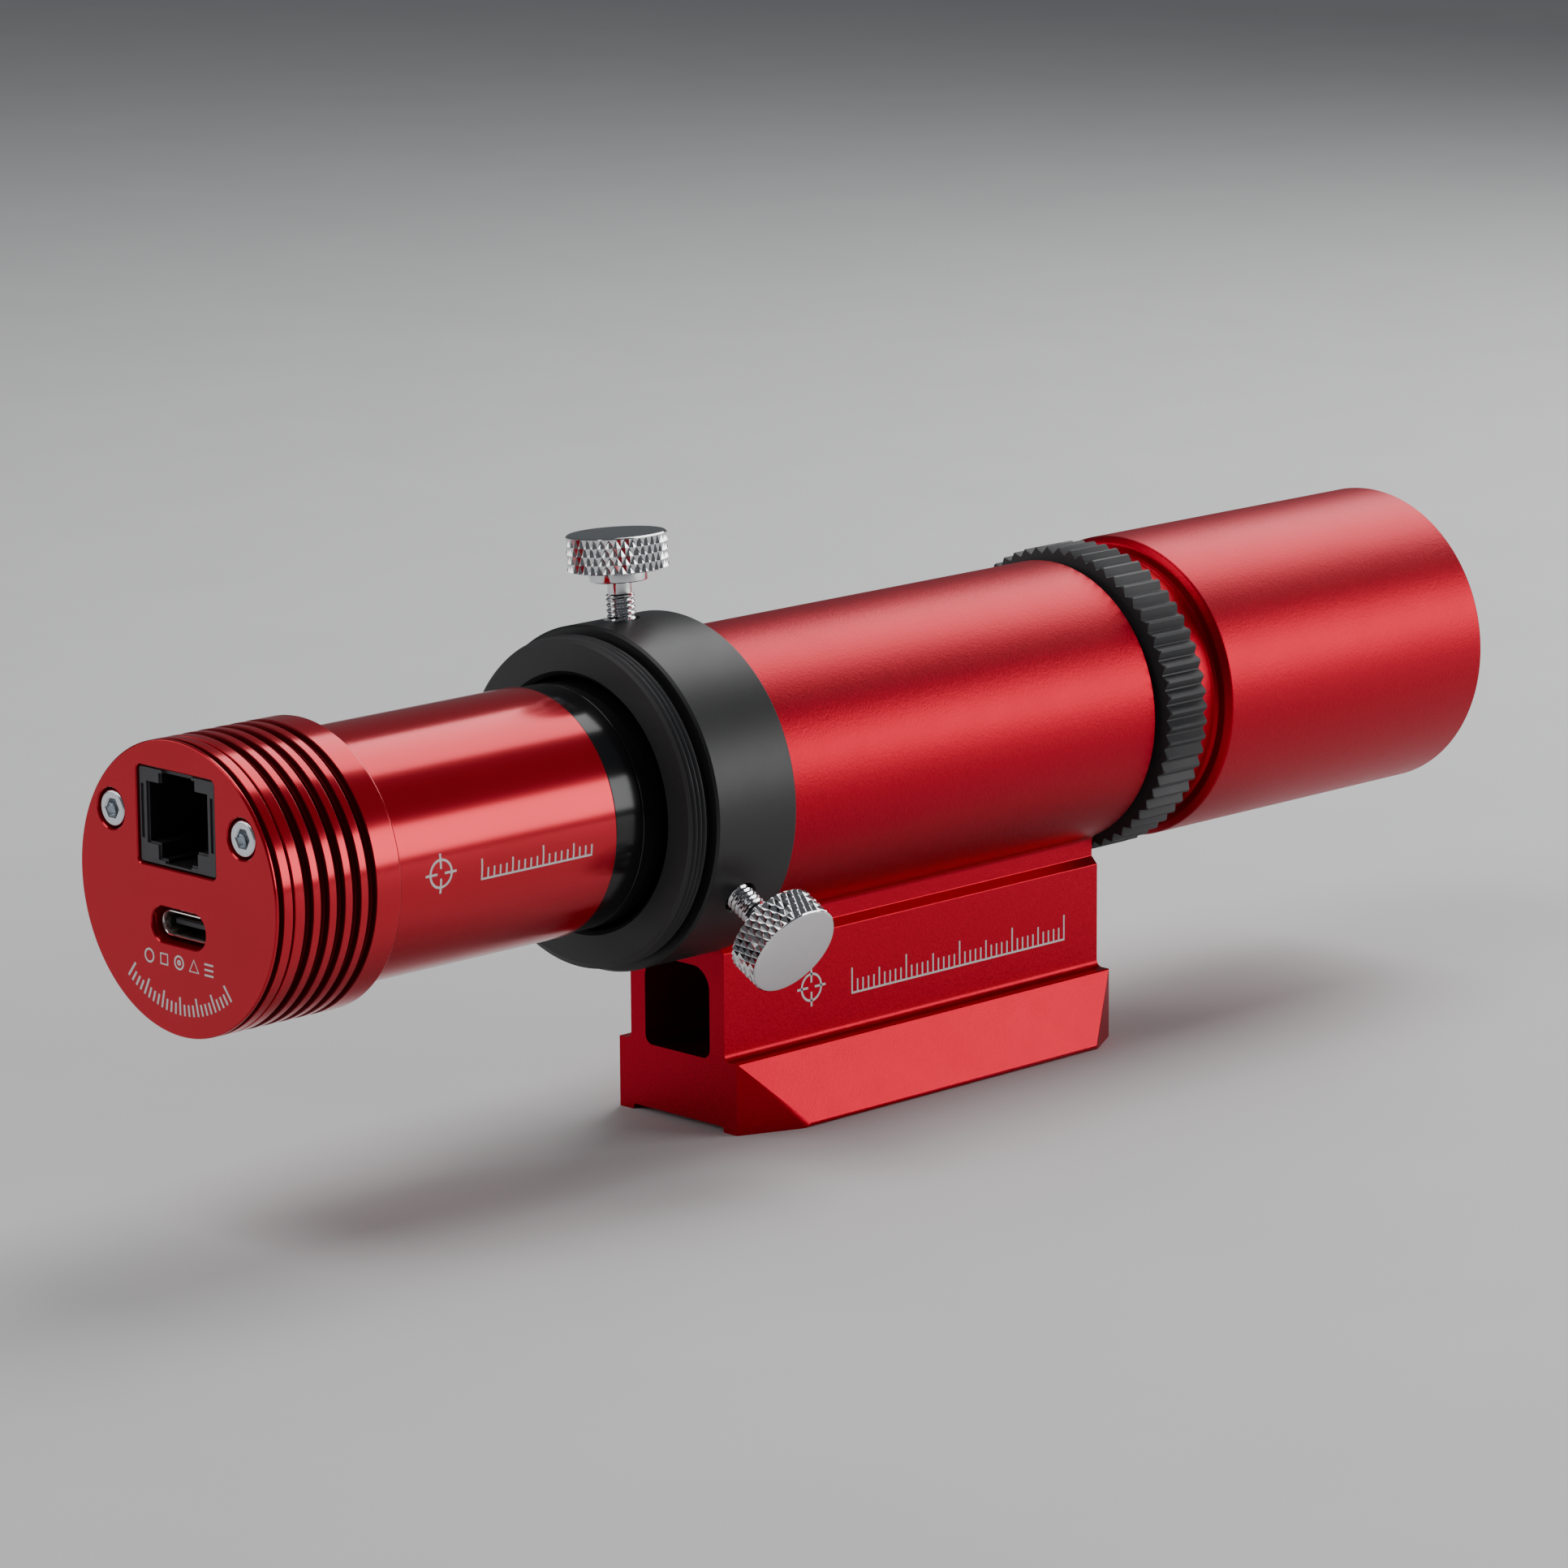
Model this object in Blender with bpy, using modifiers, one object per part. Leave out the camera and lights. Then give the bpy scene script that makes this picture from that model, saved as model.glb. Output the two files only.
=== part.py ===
"""A small guide camera clamped in its guide scope.

Frame: metres, +X along the optical axis towards the sky, +Z up. The origin is the centre of the foot's
underside, on the floor of its shallow channel. Sizes below are in millimetres and become metres in MM.
"""

from math import cos, pi, radians, sin, sqrt

import bmesh
import bpy
from mathutils import Matrix, Vector

MM = 0.001

# Driving dimensions
AXIS_HEIGHT = 43.6  # optical axis above the channel floor
BODY_LENGTH = 69.5
TUBE_RADIUS = 19.0
TUBE_BORE = 17.4
SPIGOT_RADIUS = 16.9  # male thread that carries the lock ring and the dew shield
LIGHT_BORE = 15.4
THREAD_BORE = 17.05  # female thread that runs on the spigot

CAMERA_REAR = -116.1  # x of the camera's rear face
CAMERA_RADIUS = 18.0
HEAD_CAVITY = 16.5
BARREL_RADIUS = 15.85  # 1.25 inch eyepiece barrel
BARREL_BORE = 14.2
NOSE_RADIUS = 15.6
COLLAR_BORE = 16.16
COLLAR_RADIUS = 22.0
SHIELD_RADIUS = 20.45
LENS_RADIUS = 17.0

SCREW_STATION = -42.0  # x of the thumbscrews, mid-collar
SCREW_ANGLES = {"top": -3.8, "side": 116.2}  # degrees from +Z towards -Y, as the collar seats

FOOT_NECK = 7.6  # half-widths
FOOT_WAIST = 8.6
DOVETAIL_TOP = 10.85
DOVETAIL_BOTTOM = 14.9
END_HALF_WIDTH = 10.8  # where the bevels leave the foot's end faces
RAIL_DROP = 0.75  # how far the rails stand below the channel floor

REST = 0.2  # gap between faces that touch on the real object
SLIP = 0.1  # radial gap of a sliding fit

ROUND = 48
INNER_ROUND = 36
SMALL_ROUND = 24

AXIAL = (pi / 2, 0, pi / 2)  # local X, Y, Z become world Y, Z, X


# Scene and helpers


def clear_scene():
    for thing in list(bpy.data.objects):
        bpy.data.objects.remove(thing, do_unlink=True)


def new_collection(name):
    group = bpy.data.collections.new(name)
    bpy.context.scene.collection.children.link(group)
    return group


def new_material(name, colour, roughness, metallic=0.0, alpha=1.0):
    material = bpy.data.materials.new(name)
    material.use_nodes = True
    shader = material.node_tree.nodes["Principled BSDF"]
    shader.inputs["Base Color"].default_value = (*colour, 1.0)
    shader.inputs["Roughness"].default_value = roughness
    shader.inputs["Metallic"].default_value = metallic
    shader.inputs["Alpha"].default_value = alpha
    material.diffuse_color = (*colour, alpha)
    return material


def new_object(name, data, parent, place, turn, material):
    """Links an object; without a material it is a cutter, kept out of the render."""
    thing = bpy.data.objects.new(name, data)
    thing.parent = parent
    thing.location = Vector(place) * MM
    thing.rotation_euler = turn
    if material is None:
        CUTTERS.objects.link(thing)
        thing.display_type = "WIRE"
        thing.hide_render = True
    else:
        PARTS.objects.link(thing)
        data.materials.append(material)
    return thing


def new_frame(name, parent=None, place=(0, 0, 0), turn=(0, 0, 0)):
    empty = bpy.data.objects.new(name, None)
    empty.empty_display_size = 10 * MM
    empty.parent = parent
    empty.location = Vector(place) * MM
    empty.rotation_euler = turn
    PARTS.objects.link(empty)
    return empty


def turned(name, outline, material, parent, place=(0, 0, 0), turn=(0, 0, 0), steps=ROUND):
    """A solid of revolution about local Z.

    The outline is (radius, height) pairs, down the outside and then up the bore. One that starts at
    radius 0 ends there too and is solid.
    """
    points = [(radius * MM, 0, height * MM) for radius, height in outline]
    edges = [(index, index + 1) for index in range(len(points) - 1)]
    if outline[0][0] > 0:
        edges.append((len(points) - 1, 0))
    mesh = bpy.data.meshes.new(name)
    mesh.from_pydata(points, edges, [])
    thing = new_object(name, mesh, parent, place, turn, material)
    screw = thing.modifiers.new("Revolve", "SCREW")
    screw.steps = steps
    screw.render_steps = steps
    screw.use_merge_vertices = True
    screw.merge_threshold = 0.00001
    return thing


def plate(name, outlines, low, high, material, parent, place=(0, 0, 0), turn=(0, 0, 0)):
    """Flat outlines in local XY, the later ones holes in the first, filled from z=low to z=high."""
    curve = bpy.data.curves.new(name, "CURVE")
    curve.dimensions = "2D"
    curve.fill_mode = "BOTH"
    curve.extrude = (high - low) / 2 * MM
    for outline in outlines:
        spline = curve.splines.new("POLY")
        spline.points.add(len(outline) - 1)
        for point, (x, y) in zip(spline.points, outline):
            point.co = (x * MM, y * MM, 0, 1)
        spline.use_cyclic_u = True
    guide = bpy.data.objects.new(name + "_curve", curve)
    bpy.context.scene.collection.objects.link(guide)
    bpy.context.view_layer.update()
    evaluated = guide.evaluated_get(bpy.context.evaluated_depsgraph_get())
    mesh = bpy.data.meshes.new_from_object(evaluated)
    mesh.name = name
    bpy.data.objects.remove(guide, do_unlink=True)
    mesh.transform(Matrix.Translation((0, 0, (low + high) / 2 * MM)))
    shape = bmesh.new()
    shape.from_mesh(mesh)
    bmesh.ops.remove_doubles(shape, verts=shape.verts, dist=0.000001)
    bmesh.ops.recalc_face_normals(shape, faces=shape.faces)
    shape.to_mesh(mesh)
    shape.free()
    mesh.materials.clear()
    return new_object(name, mesh, parent, place, turn, material)


def block(name, size, material, parent, place=(0, 0, 0), turn=(0, 0, 0)):
    """A box centred on its place."""
    mesh = bpy.data.meshes.new(name)
    shape = bmesh.new()
    bmesh.ops.create_cube(shape, size=MM)
    bmesh.ops.scale(shape, vec=size, verts=shape.verts)
    shape.to_mesh(mesh)
    shape.free()
    return new_object(name, mesh, parent, place, turn, material)


def rod(name, radius, low, high, material, parent, place=(0, 0, 0), turn=(0, 0, 0), steps=SMALL_ROUND):
    """A cylinder along local Z from low to high."""
    mesh = bpy.data.meshes.new(name)
    shape = bmesh.new()
    bmesh.ops.create_cone(
        shape,
        cap_ends=True,
        segments=steps,
        radius1=radius * MM,
        radius2=radius * MM,
        depth=(high - low) * MM,
        matrix=Matrix.Translation((0, 0, (low + high) / 2 * MM)),
    )
    shape.to_mesh(mesh)
    shape.free()
    return new_object(name, mesh, parent, place, turn, material)


def combine(thing, tool, operation, solver="EXACT"):
    step = thing.modifiers.new(tool.name, "BOOLEAN")
    step.object = tool
    step.operation = operation
    step.solver = solver


def circle(radius, steps=INNER_ROUND):
    turns = [2 * pi * index / steps for index in range(steps)]
    return [(radius * cos(angle), radius * sin(angle)) for angle in turns]


def slot(width, height, steps=8):
    """A stadium outline, wide along X, round at both ends."""
    radius = height / 2
    reach = width / 2 - radius
    points = []
    for side, start in ((1, -pi / 2), (-1, pi / 2)):
        for index in range(steps + 1):
            angle = start + pi * index / steps
            points.append((side * reach + radius * cos(angle), radius * sin(angle)))
    return points


def settle(part):
    """Turns the part's modifiers into its own mesh, shaded smooth between its corners."""
    evaluated = part.evaluated_get(bpy.context.evaluated_depsgraph_get())
    mesh = bpy.data.meshes.new_from_object(evaluated)
    part.modifiers.clear()
    part.data = mesh
    mesh.shade_smooth()
    mesh.set_sharp_from_angle(angle=radians(30))


# The guide scope


def foot_outline():
    """Half of the foot's section, (y, z from the axis), from the tube down to the rail's edge."""
    floor = -AXIS_HEIGHT
    return [
        (FOOT_NECK, -17.0),
        (FOOT_NECK, -20.0),
        (FOOT_WAIST, -21.0),
        (FOOT_WAIST, -34.2),
        (FOOT_WAIST + 0.8, -35.0),
        (DOVETAIL_TOP, -35.0),
        (DOVETAIL_BOTTOM, floor - RAIL_DROP + 0.5),
        (DOVETAIL_BOTTOM - 0.5, floor - RAIL_DROP),
        (8.3, floor - RAIL_DROP),
        (7.4, floor),
    ]


def window_outline():
    """The tunnel through the foot: (y, z from the axis), with rounded upper corners."""
    half, top, bottom, radius = 5.94, -23.3, -35.2, 3.0
    points = [(-half, bottom + 1.3), (-half + 1.3, bottom), (half - 1.3, bottom), (half, bottom + 1.3)]
    for side in (1, -1):
        for index in range(5):
            angle = pi / 8 * (index if side > 0 else 4 - index)
            centre = side * (half - radius)
            points.append((centre + side * radius * cos(angle), top - radius + radius * sin(angle)))
    return points


def end_bevels(parent):
    """Prisms that take off the dovetail's corners: the end faces are narrower than the dovetail."""
    low, high = -AXIS_HEIGHT - 5, -30.0
    cutters = []
    for end, length in ((-1, 10.1), (1, 7.0)):
        tip = end * (BODY_LENGTH / 2 + 1)
        root = end * (BODY_LENGTH / 2 - length)
        slope = length / (DOVETAIL_BOTTOM - END_HALF_WIDTH)
        inset = END_HALF_WIDTH - 1 / slope
        for side in (-1, 1):
            name = f"bevel_cutter_{'rear' if end < 0 else 'front'}_{'left' if side > 0 else 'right'}"
            past = side * (DOVETAIL_BOTTOM + 2)
            outline = [(tip, side * inset), (root - end * 2 * slope, past), (tip, past)]
            cutters.append(plate(name, [outline], low, high, None, parent))
    return cutters


def scope_body(axis):
    """The tube, its front spigot and its dovetail foot, machined from one piece."""
    half = BODY_LENGTH / 2
    spigot_end = 51.4
    outline = [
        (0, spigot_end),
        (SPIGOT_RADIUS - 0.4, spigot_end),
        (SPIGOT_RADIUS, spigot_end - 0.4),
        (SPIGOT_RADIUS, half),
        (TUBE_RADIUS - 0.2, half),
        (TUBE_RADIUS, half - 0.2),
        (TUBE_RADIUS, -half + 0.2),
        (TUBE_RADIUS - 0.2, -half),
        (0, -half),
    ]
    body = turned("scope_body", outline, BLASTED_RED, axis)
    right = foot_outline()
    left = [(-y, z) for y, z in reversed(right)]
    foot = plate("foot_shape", [right + left], -half, half, None, axis)
    combine(body, foot, "UNION")
    step = 30.9
    bore_outline = [
        (0, spigot_end + 1),
        (LIGHT_BORE, spigot_end + 1),
        (LIGHT_BORE, step),
        (TUBE_BORE, step),
        (TUBE_BORE, -half - 1),
        (0, -half - 1),
    ]
    combine(body, turned("bore_cutter", bore_outline, None, axis), "DIFFERENCE")
    window = plate("window_cutter", [window_outline()], -half - 1, half + 1, None, axis)
    combine(body, window, "DIFFERENCE")
    upright = new_frame("foot_frame", place=(0, 0, AXIS_HEIGHT))
    for cutter in end_bevels(upright):
        combine(body, cutter, "DIFFERENCE")
    return body


def rear_collar(axis):
    """The black collar: a male M42 thread round its mouth and a spigot fixed in the tube."""
    face = -51.9
    shoulder = -BODY_LENGTH / 2 - REST
    spigot = TUBE_BORE - REST
    outline = [
        (spigot, -24.1),
        (spigot, shoulder),
        (COLLAR_RADIUS - 0.2, shoulder),
        (COLLAR_RADIUS, shoulder - 0.2),
        (COLLAR_RADIUS, -48.07),
        (COLLAR_RADIUS - 0.3, -48.37),
        (20.2, -48.37),
        (20.2, -49.3),
        (21.0, -49.3),
        (21.0, face + 0.4),
        (20.6, face),
        (16.75, face),
        (COLLAR_BORE, face + 0.6),
        (COLLAR_BORE, -24.1),
    ]
    collar = turned("rear_collar", outline, BLACK_ANODISED, axis)
    for where, angle in SCREW_ANGLES.items():
        turn = (radians(angle), 0, 0)
        hole = new_frame(f"thumbscrew_{where}_hole", place=(SCREW_STATION, 0, AXIS_HEIGHT), turn=turn)
        cutter = rod(f"thumbscrew_{where}_cutter", 2.0 + SLIP, 14, 24, None, hole)
        combine(collar, cutter, "DIFFERENCE")
    return collar


def thumbscrew(where, angle):
    """A knurled screw and its soft tip, both on an axis that points out from the optical axis."""
    frame = new_frame(
        f"thumbscrew_{where}_axis",
        place=(SCREW_STATION, 0, AXIS_HEIGHT),
        turn=(radians(angle), 0, 0),
    )
    outline = [
        (0, 32.95),
        (5.9, 32.95),
        (6.4, 32.45),
        (6.4, 28.5),
        (6.1, 28.2),
        (3.75, 28.2),
        (3.75, 26.8),
        (1.5, 26.8),
        (1.5, 25.1),
        (2.0, 24.8),
        (2.0, 18.6),
        (1.7, 18.3),
        (0, 18.3),
    ]
    turned(f"thumbscrew_{where}", outline, CHROME, frame, steps=SMALL_ROUND)
    rod(f"thumbscrew_{where}_tip", 1.6, 15.75, 18.3 - REST, NYLON, frame)


def tube_baffle(axis):
    """A stray-light stop a little way behind the middle of the tube."""
    edge = TUBE_BORE - REST
    outline = [(edge, 1.0), (edge, -3.0), (edge - 0.8, -3.0), (edge - 0.8, 0), (10.0, 0), (10.0, 1.0)]
    return turned("tube_baffle", outline, BLACK_ANODISED, axis, steps=INNER_ROUND)


def saw_tooth_outline(crest, depth, count):
    """A ring of leaning teeth: a slow rise to the crest and a quick fall."""
    points = []
    for index in range(count):
        start = 2 * pi * index / count
        for part, radius in ((0.0, crest - depth), (0.62, crest), (0.8, crest)):
            angle = start + part * 2 * pi / count
            points.append((radius * cos(angle), radius * sin(angle)))
    return points


def lock_ring(axis):
    rear, front = 36.14, 43.3
    outlines = [saw_tooth_outline(20.49, 0.7, 62), circle(THREAD_BORE)]
    return plate("lock_ring", outlines, rear, front, BLACK_ANODISED, axis)


def dew_shield(axis):
    neck_rear, shoulder, front = 43.5, 47.6, 100.1
    outline = [
        (SHIELD_RADIUS - 0.3, front),
        (SHIELD_RADIUS, front - 0.3),
        (SHIELD_RADIUS, shoulder + 0.8),
        (20.1, shoulder + 0.4),
        (18.5, shoulder),
        (18.3, neck_rear + 2.0),
        (18.5, neck_rear),
        (THREAD_BORE, neck_rear),
        (THREAD_BORE, 52.5),
        (19.0, 52.5),
        (19.0, front - 0.6),
        (19.5, front),
    ]
    return turned("dew_shield", outline, BLASTED_RED, axis)


def objective(axis):
    """The cell with its two lenses, their spacer and the ring that holds them."""
    cell = [(18.7, 66.0), (18.7, 52.7), (16.0, 52.7), (16.0, 54.4), (17.2, 54.4), (17.2, 66.0)]
    turned("objective_cell", cell, BLACK_ANODISED, axis, steps=INNER_ROUND)
    flint_front, edge_gap = 58.2, 0.6
    back_curve = lens_curve(54.7, -0.7)
    middle_curve = lens_curve(flint_front, -1.6)
    front_curve = lens_curve(63.0, 1.9)
    flint = list(reversed(middle_curve)) + back_curve
    turned("flint_lens", flint, LENS_GLASS, axis, steps=INNER_ROUND)
    crown_back = [(radius, height + edge_gap) for radius, height in middle_curve]
    crown = list(reversed(front_curve)) + crown_back
    turned("crown_lens", crown, LENS_GLASS, axis, steps=INNER_ROUND)
    spacer = [circle(LENS_RADIUS - 0.1), circle(LENS_RADIUS - 0.7)]
    plate("lens_spacer", spacer, flint_front + 0.1, flint_front + 0.4, BLACK_ANODISED, axis)
    ring = [(17.1, 65.2), (17.1, 63.4), (15.9, 63.4), (15.9, 65.2)]
    turned("lens_retaining_ring", ring, BLACK_ANODISED, axis, steps=INNER_ROUND)


def lens_curve(edge_height, sag, steps=4):
    """Points of a lens face from its rim to its pole; a positive sag bulges towards +Z."""
    sphere = (LENS_RADIUS**2 + sag**2) / (2 * abs(sag))
    side = 1 if sag > 0 else -1
    points = []
    for index in range(steps + 1):
        radius = LENS_RADIUS * (1 - index / steps)
        rise = sqrt(sphere**2 - radius**2) - sqrt(sphere**2 - LENS_RADIUS**2)
        points.append((radius, edge_height + side * rise))
    return points


# The camera: stations are measured from its rear face


def back_plate(camera):
    """The disc that closes the head, with its sockets' openings and two sunk screw seats."""
    outline = [
        (0, 4.1),
        (HEAD_CAVITY - REST, 4.1),
        (HEAD_CAVITY - REST, 2.61),
        (CAMERA_RADIUS, 2.61),
        (CAMERA_RADIUS, 1.27),
        (17.1, 1.27),
        (17.1, 0.35),
        (CAMERA_RADIUS, 0.35),
        (CAMERA_RADIUS - 0.3, 0),
        (0, 0),
    ]
    plate_body = turned("back_plate", outline, SATIN_RED, camera)
    jack_opening = block("jack_opening_cutter", (14.35, 12.0, 8), None, camera, place=(0, 8.2, 2))
    usb_opening = plate("usb_opening_cutter", [slot(9.95, 4.4)], -1, 6, None, camera, place=(0, -4.7, 0))
    combine(plate_body, jack_opening, "DIFFERENCE")
    combine(plate_body, usb_opening, "DIFFERENCE")
    for side, where in ((1, "left"), (-1, "right")):
        place = (12.0 * side, 8.0, 0)
        seat = rod(f"screw_seat_{where}_cutter", 2.55, -1, 2.8, None, camera, place=place)
        hole = rod(f"screw_hole_{where}_cutter", 1.25 + SLIP, 2, 5, None, camera, place=place)
        combine(plate_body, seat, "DIFFERENCE")
        combine(plate_body, hole, "DIFFERENCE")
    return plate_body


def back_screw(where, side, camera):
    """A socket-cap screw: the head faces the rear."""
    outline = [
        (0, 10.0),
        (1.25, 10.0),
        (1.25, 2.8 - REST),
        (2.25, 2.8 - REST),
        (2.25, 0.4),
        (2.0, 0.15),
        (0, 0.15),
    ]
    place = (12.0 * side, 8.0, 0)
    screw = turned(f"back_screw_{where}", outline, ZINC, camera, place=place, steps=SMALL_ROUND)
    socket = rod(f"socket_{where}_cutter", 1.15, -1, 1.6, None, camera, place=place, steps=6)
    combine(screw, socket, "DIFFERENCE")
    return screw


def camera_housing(camera):
    """The grooved head and the smooth barrel, turned from one bar."""
    rear = 2.61 + 0.34
    groove_width, groove_pitch, first_groove, groove_depth = 1.25, 2.457, 4.47, 0.9
    outline = [
        (BARREL_RADIUS - 0.2, 56.44),
        (BARREL_RADIUS, 56.24),
        (BARREL_RADIUS, 19.67),
        (CAMERA_RADIUS - 0.2, 19.67),
        (CAMERA_RADIUS, 19.47),
    ]
    for index in reversed(range(5)):
        low = first_groove + index * groove_pitch
        high = low + groove_width
        outline.append((CAMERA_RADIUS, high))
        outline.append((CAMERA_RADIUS - groove_depth, high))
        outline.append((CAMERA_RADIUS - groove_depth, low))
        outline.append((CAMERA_RADIUS, low))
    outline += [(CAMERA_RADIUS, rear), (HEAD_CAVITY, rear), (HEAD_CAVITY, 17.2)]
    outline += [(BARREL_BORE, 17.2), (BARREL_BORE, 56.44)]
    housing = turned("camera_housing", outline, SATIN_RED, camera)
    for side, where in ((1, "left"), (-1, "right")):
        place = (12.0 * side, 8.0, 0)
        boss = rod(f"boss_{where}_shape", 2.4, 4.1 + REST, 12.5, None, camera, place=place)
        hole = rod(f"boss_{where}_cutter", 1.25 + SLIP, 3.5, 11.0, None, camera, place=place)
        combine(housing, boss, "UNION")
        combine(housing, hole, "DIFFERENCE")
    return housing


def guide_port_jack(camera):
    """A six-way modular jack: a moulded box whose mouth is keyed for the plug's latch."""
    body = block("guide_port_jack", (13.9, 11.6, 14.0), BLACK_PLASTIC, camera, place=(0, 8.2, 7.3))
    half_mouth = [(3.1, 13.5), (3.1, 12.3), (5.4, 12.3), (5.4, 5.0)]
    half_mouth += [(3.4, 5.0), (3.4, 3.2), (2.2, 3.2), (2.2, 2.8)]
    mirrored = [(-x, y) for x, y in reversed(half_mouth)]
    mouth = plate("jack_mouth_cutter", [half_mouth + mirrored], -1, 12.0, None, camera)
    combine(body, mouth, "DIFFERENCE", "MANIFOLD")
    return body


def contact_comb(camera):
    """Six sprung contacts on their carrier bar, leaning forward and down into the jack's mouth."""
    pitch, width, bar, reach, count = 1.02, 0.5, 1.0, 7.6, 6
    outline = [(-3.4, 0), (-3.4, bar)]
    for index in range(count):
        middle = (index - (count - 1) / 2) * pitch
        outline.append((middle - width / 2, bar))
        outline.append((middle - width / 2, reach))
        outline.append((middle + width / 2, reach))
        outline.append((middle + width / 2, bar))
    outline += [(3.4, bar), (3.4, 0)]
    lean = new_frame("contact_frame", camera, place=(0, 11.9, 11.3), turn=(radians(-90 - 8), 0, 0))
    return plate("jack_contact_comb", [outline], -0.15, 0.15, GOLD, lean)


def usb_socket(camera):
    shell_outlines = [slot(8.94, 3.16), slot(8.34, 2.56)]
    plate("usb_c_shell", shell_outlines, 1.2, 14.2, ZINC, camera, place=(0, -4.7, 0))
    right = [(3.3, -2.3), (3.3, -9.0), (3.9, -9.0), (3.9, -14.2)]
    outline = right + [(-x, y) for x, y in reversed(right)]
    frame = new_frame("tongue_frame", camera, place=(0, -4.7, 0), turn=(-pi / 2, 0, 0))
    plate("usb_c_tongue", [outline], -0.35, 0.35, BLACK_PLASTIC, frame)


def electronics(camera):
    rod("interface_board", 15.6, 14.5, 16.1, BOARD_GREEN, camera, steps=INNER_ROUND)
    rod("sensor_board", 13.2, 50.0, 51.6, BOARD_GREEN, camera, steps=INNER_ROUND)
    block("image_sensor", (10.4, 8.6, 1.3), SENSOR_BLACK, camera, place=(0, 0, 52.4))
    for side, where in ((1, "left"), (-1, "right")):
        place = (10.5 * side, 0, 0)
        rod(f"standoff_{where}", 1.6, 16.3, 49.8, BRASS, camera, place=place, steps=12)
    board_cable(camera)


def board_cable(camera):
    """A flat cable with one slack wave between the boards."""
    low, high, steps, thickness = 16.3, 49.8, 12, 0.3
    middle = []
    for index in range(steps + 1):
        share = index / steps
        middle.append((low + (high - low) * share, 2.5 * sin(2 * pi * share)))
    lower = [(z, y - thickness / 2) for z, y in middle]
    upper = [(z, y + thickness / 2) for z, y in reversed(middle)]
    frame = new_frame("cable_frame", camera, place=(0, -6.0, 0), turn=(0, -pi / 2, 0))
    plate("board_cable", [lower + upper], -4.0, 4.0, CABLE, frame)


def nose(camera):
    """The front ring, the window it holds and the tube that screws into it."""
    ring = [
        (14.0, 61.0),
        (NOSE_RADIUS - 0.2, 61.0),
        (NOSE_RADIUS, 60.8),
        (NOSE_RADIUS, 56.8),
        (NOSE_RADIUS - 0.2, 56.44 + REST),
        (14.05, 56.44 + REST),
        (14.05, 53.8),
        (10.5, 53.8),
        (10.5, 54.6),
        (12.8, 54.6),
        (12.8, 57.6),
        (14.0, 57.6),
    ]
    turned("nose_ring", ring, GLOSS_BLACK, camera)
    rod("protective_window", 12.6, 54.8, 56.3, WINDOW_GLASS, camera, steps=INNER_ROUND)
    gasket = [circle(12.6), circle(11.4)]
    plate("window_gasket", gasket, 56.5, 57.6, RUBBER, camera)


def nosepiece_tube(axis):
    rear, front = CAMERA_REAR + 61.2, CAMERA_REAR + 84.0
    outline = [
        (NOSE_RADIUS - 0.4, front),
        (NOSE_RADIUS, front - 0.4),
        (NOSE_RADIUS, rear + 0.2),
        (NOSE_RADIUS - 0.2, rear),
        (13.8, rear),
        (13.8, rear - 3.3),
        (12.0, rear - 3.3),
        (12.0, rear + 1.2),
        (14.2, rear + 2.0),
        (14.2, front - 0.4),
        (14.6, front),
    ]
    return turned("nosepiece_tube", outline, GLOSS_BLACK, axis)


clear_scene()
PARTS = new_collection("guide_camera")
CUTTERS = new_collection("guide_camera_cutters")
CUTTERS.hide_render = True

SATIN_RED = new_material("satin_red", (0.42, 0.005, 0.012), 0.3, 0.9)
BLASTED_RED = new_material("blasted_red", (0.45, 0.008, 0.012), 0.5, 0.8)
BLACK_ANODISED = new_material("black_anodised", (0.012, 0.012, 0.013), 0.4, 0.6)
GLOSS_BLACK = new_material("gloss_black", (0.008, 0.008, 0.009), 0.15, 0.6)
CHROME = new_material("chrome", (0.8, 0.8, 0.82), 0.06, 1.0)
ZINC = new_material("zinc", (0.55, 0.56, 0.58), 0.25, 1.0)
GOLD = new_material("gold", (0.83, 0.6, 0.22), 0.2, 1.0)
BRASS = new_material("brass", (0.7, 0.5, 0.2), 0.3, 1.0)
BLACK_PLASTIC = new_material("black_plastic", (0.015, 0.015, 0.016), 0.45)
NYLON = new_material("nylon", (0.85, 0.84, 0.8), 0.5)
RUBBER = new_material("rubber", (0.02, 0.02, 0.02), 0.8)
BOARD_GREEN = new_material("board_green", (0.01, 0.12, 0.05), 0.4)
SENSOR_BLACK = new_material("sensor_black", (0.03, 0.03, 0.05), 0.15, 0.5)
CABLE = new_material("cable", (0.75, 0.6, 0.35), 0.4)
WINDOW_GLASS = new_material("window_glass", (0.8, 0.9, 0.95), 0.02, 0.0, 0.3)
LENS_GLASS = new_material("lens_glass", (0.75, 0.9, 0.85), 0.02, 0.0, 0.35)

scope_axis = new_frame("scope_axis", place=(0, 0, AXIS_HEIGHT), turn=AXIAL)
camera_axis = new_frame("camera_axis", place=(CAMERA_REAR, 0, AXIS_HEIGHT), turn=AXIAL)

scope_body(scope_axis)
rear_collar(scope_axis)
tube_baffle(scope_axis)
lock_ring(scope_axis)
dew_shield(scope_axis)
objective(scope_axis)
for screw_name, screw_angle in SCREW_ANGLES.items():
    thumbscrew(screw_name, screw_angle)

nosepiece_tube(scope_axis)
nose(camera_axis)
camera_housing(camera_axis)
back_plate(camera_axis)
back_screw("left", 1, camera_axis)
back_screw("right", -1, camera_axis)
guide_port_jack(camera_axis)
contact_comb(camera_axis)
usb_socket(camera_axis)
electronics(camera_axis)

bpy.context.view_layer.update()
for built in [thing for thing in PARTS.objects if thing.type == "MESH"]:
    settle(built)
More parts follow.
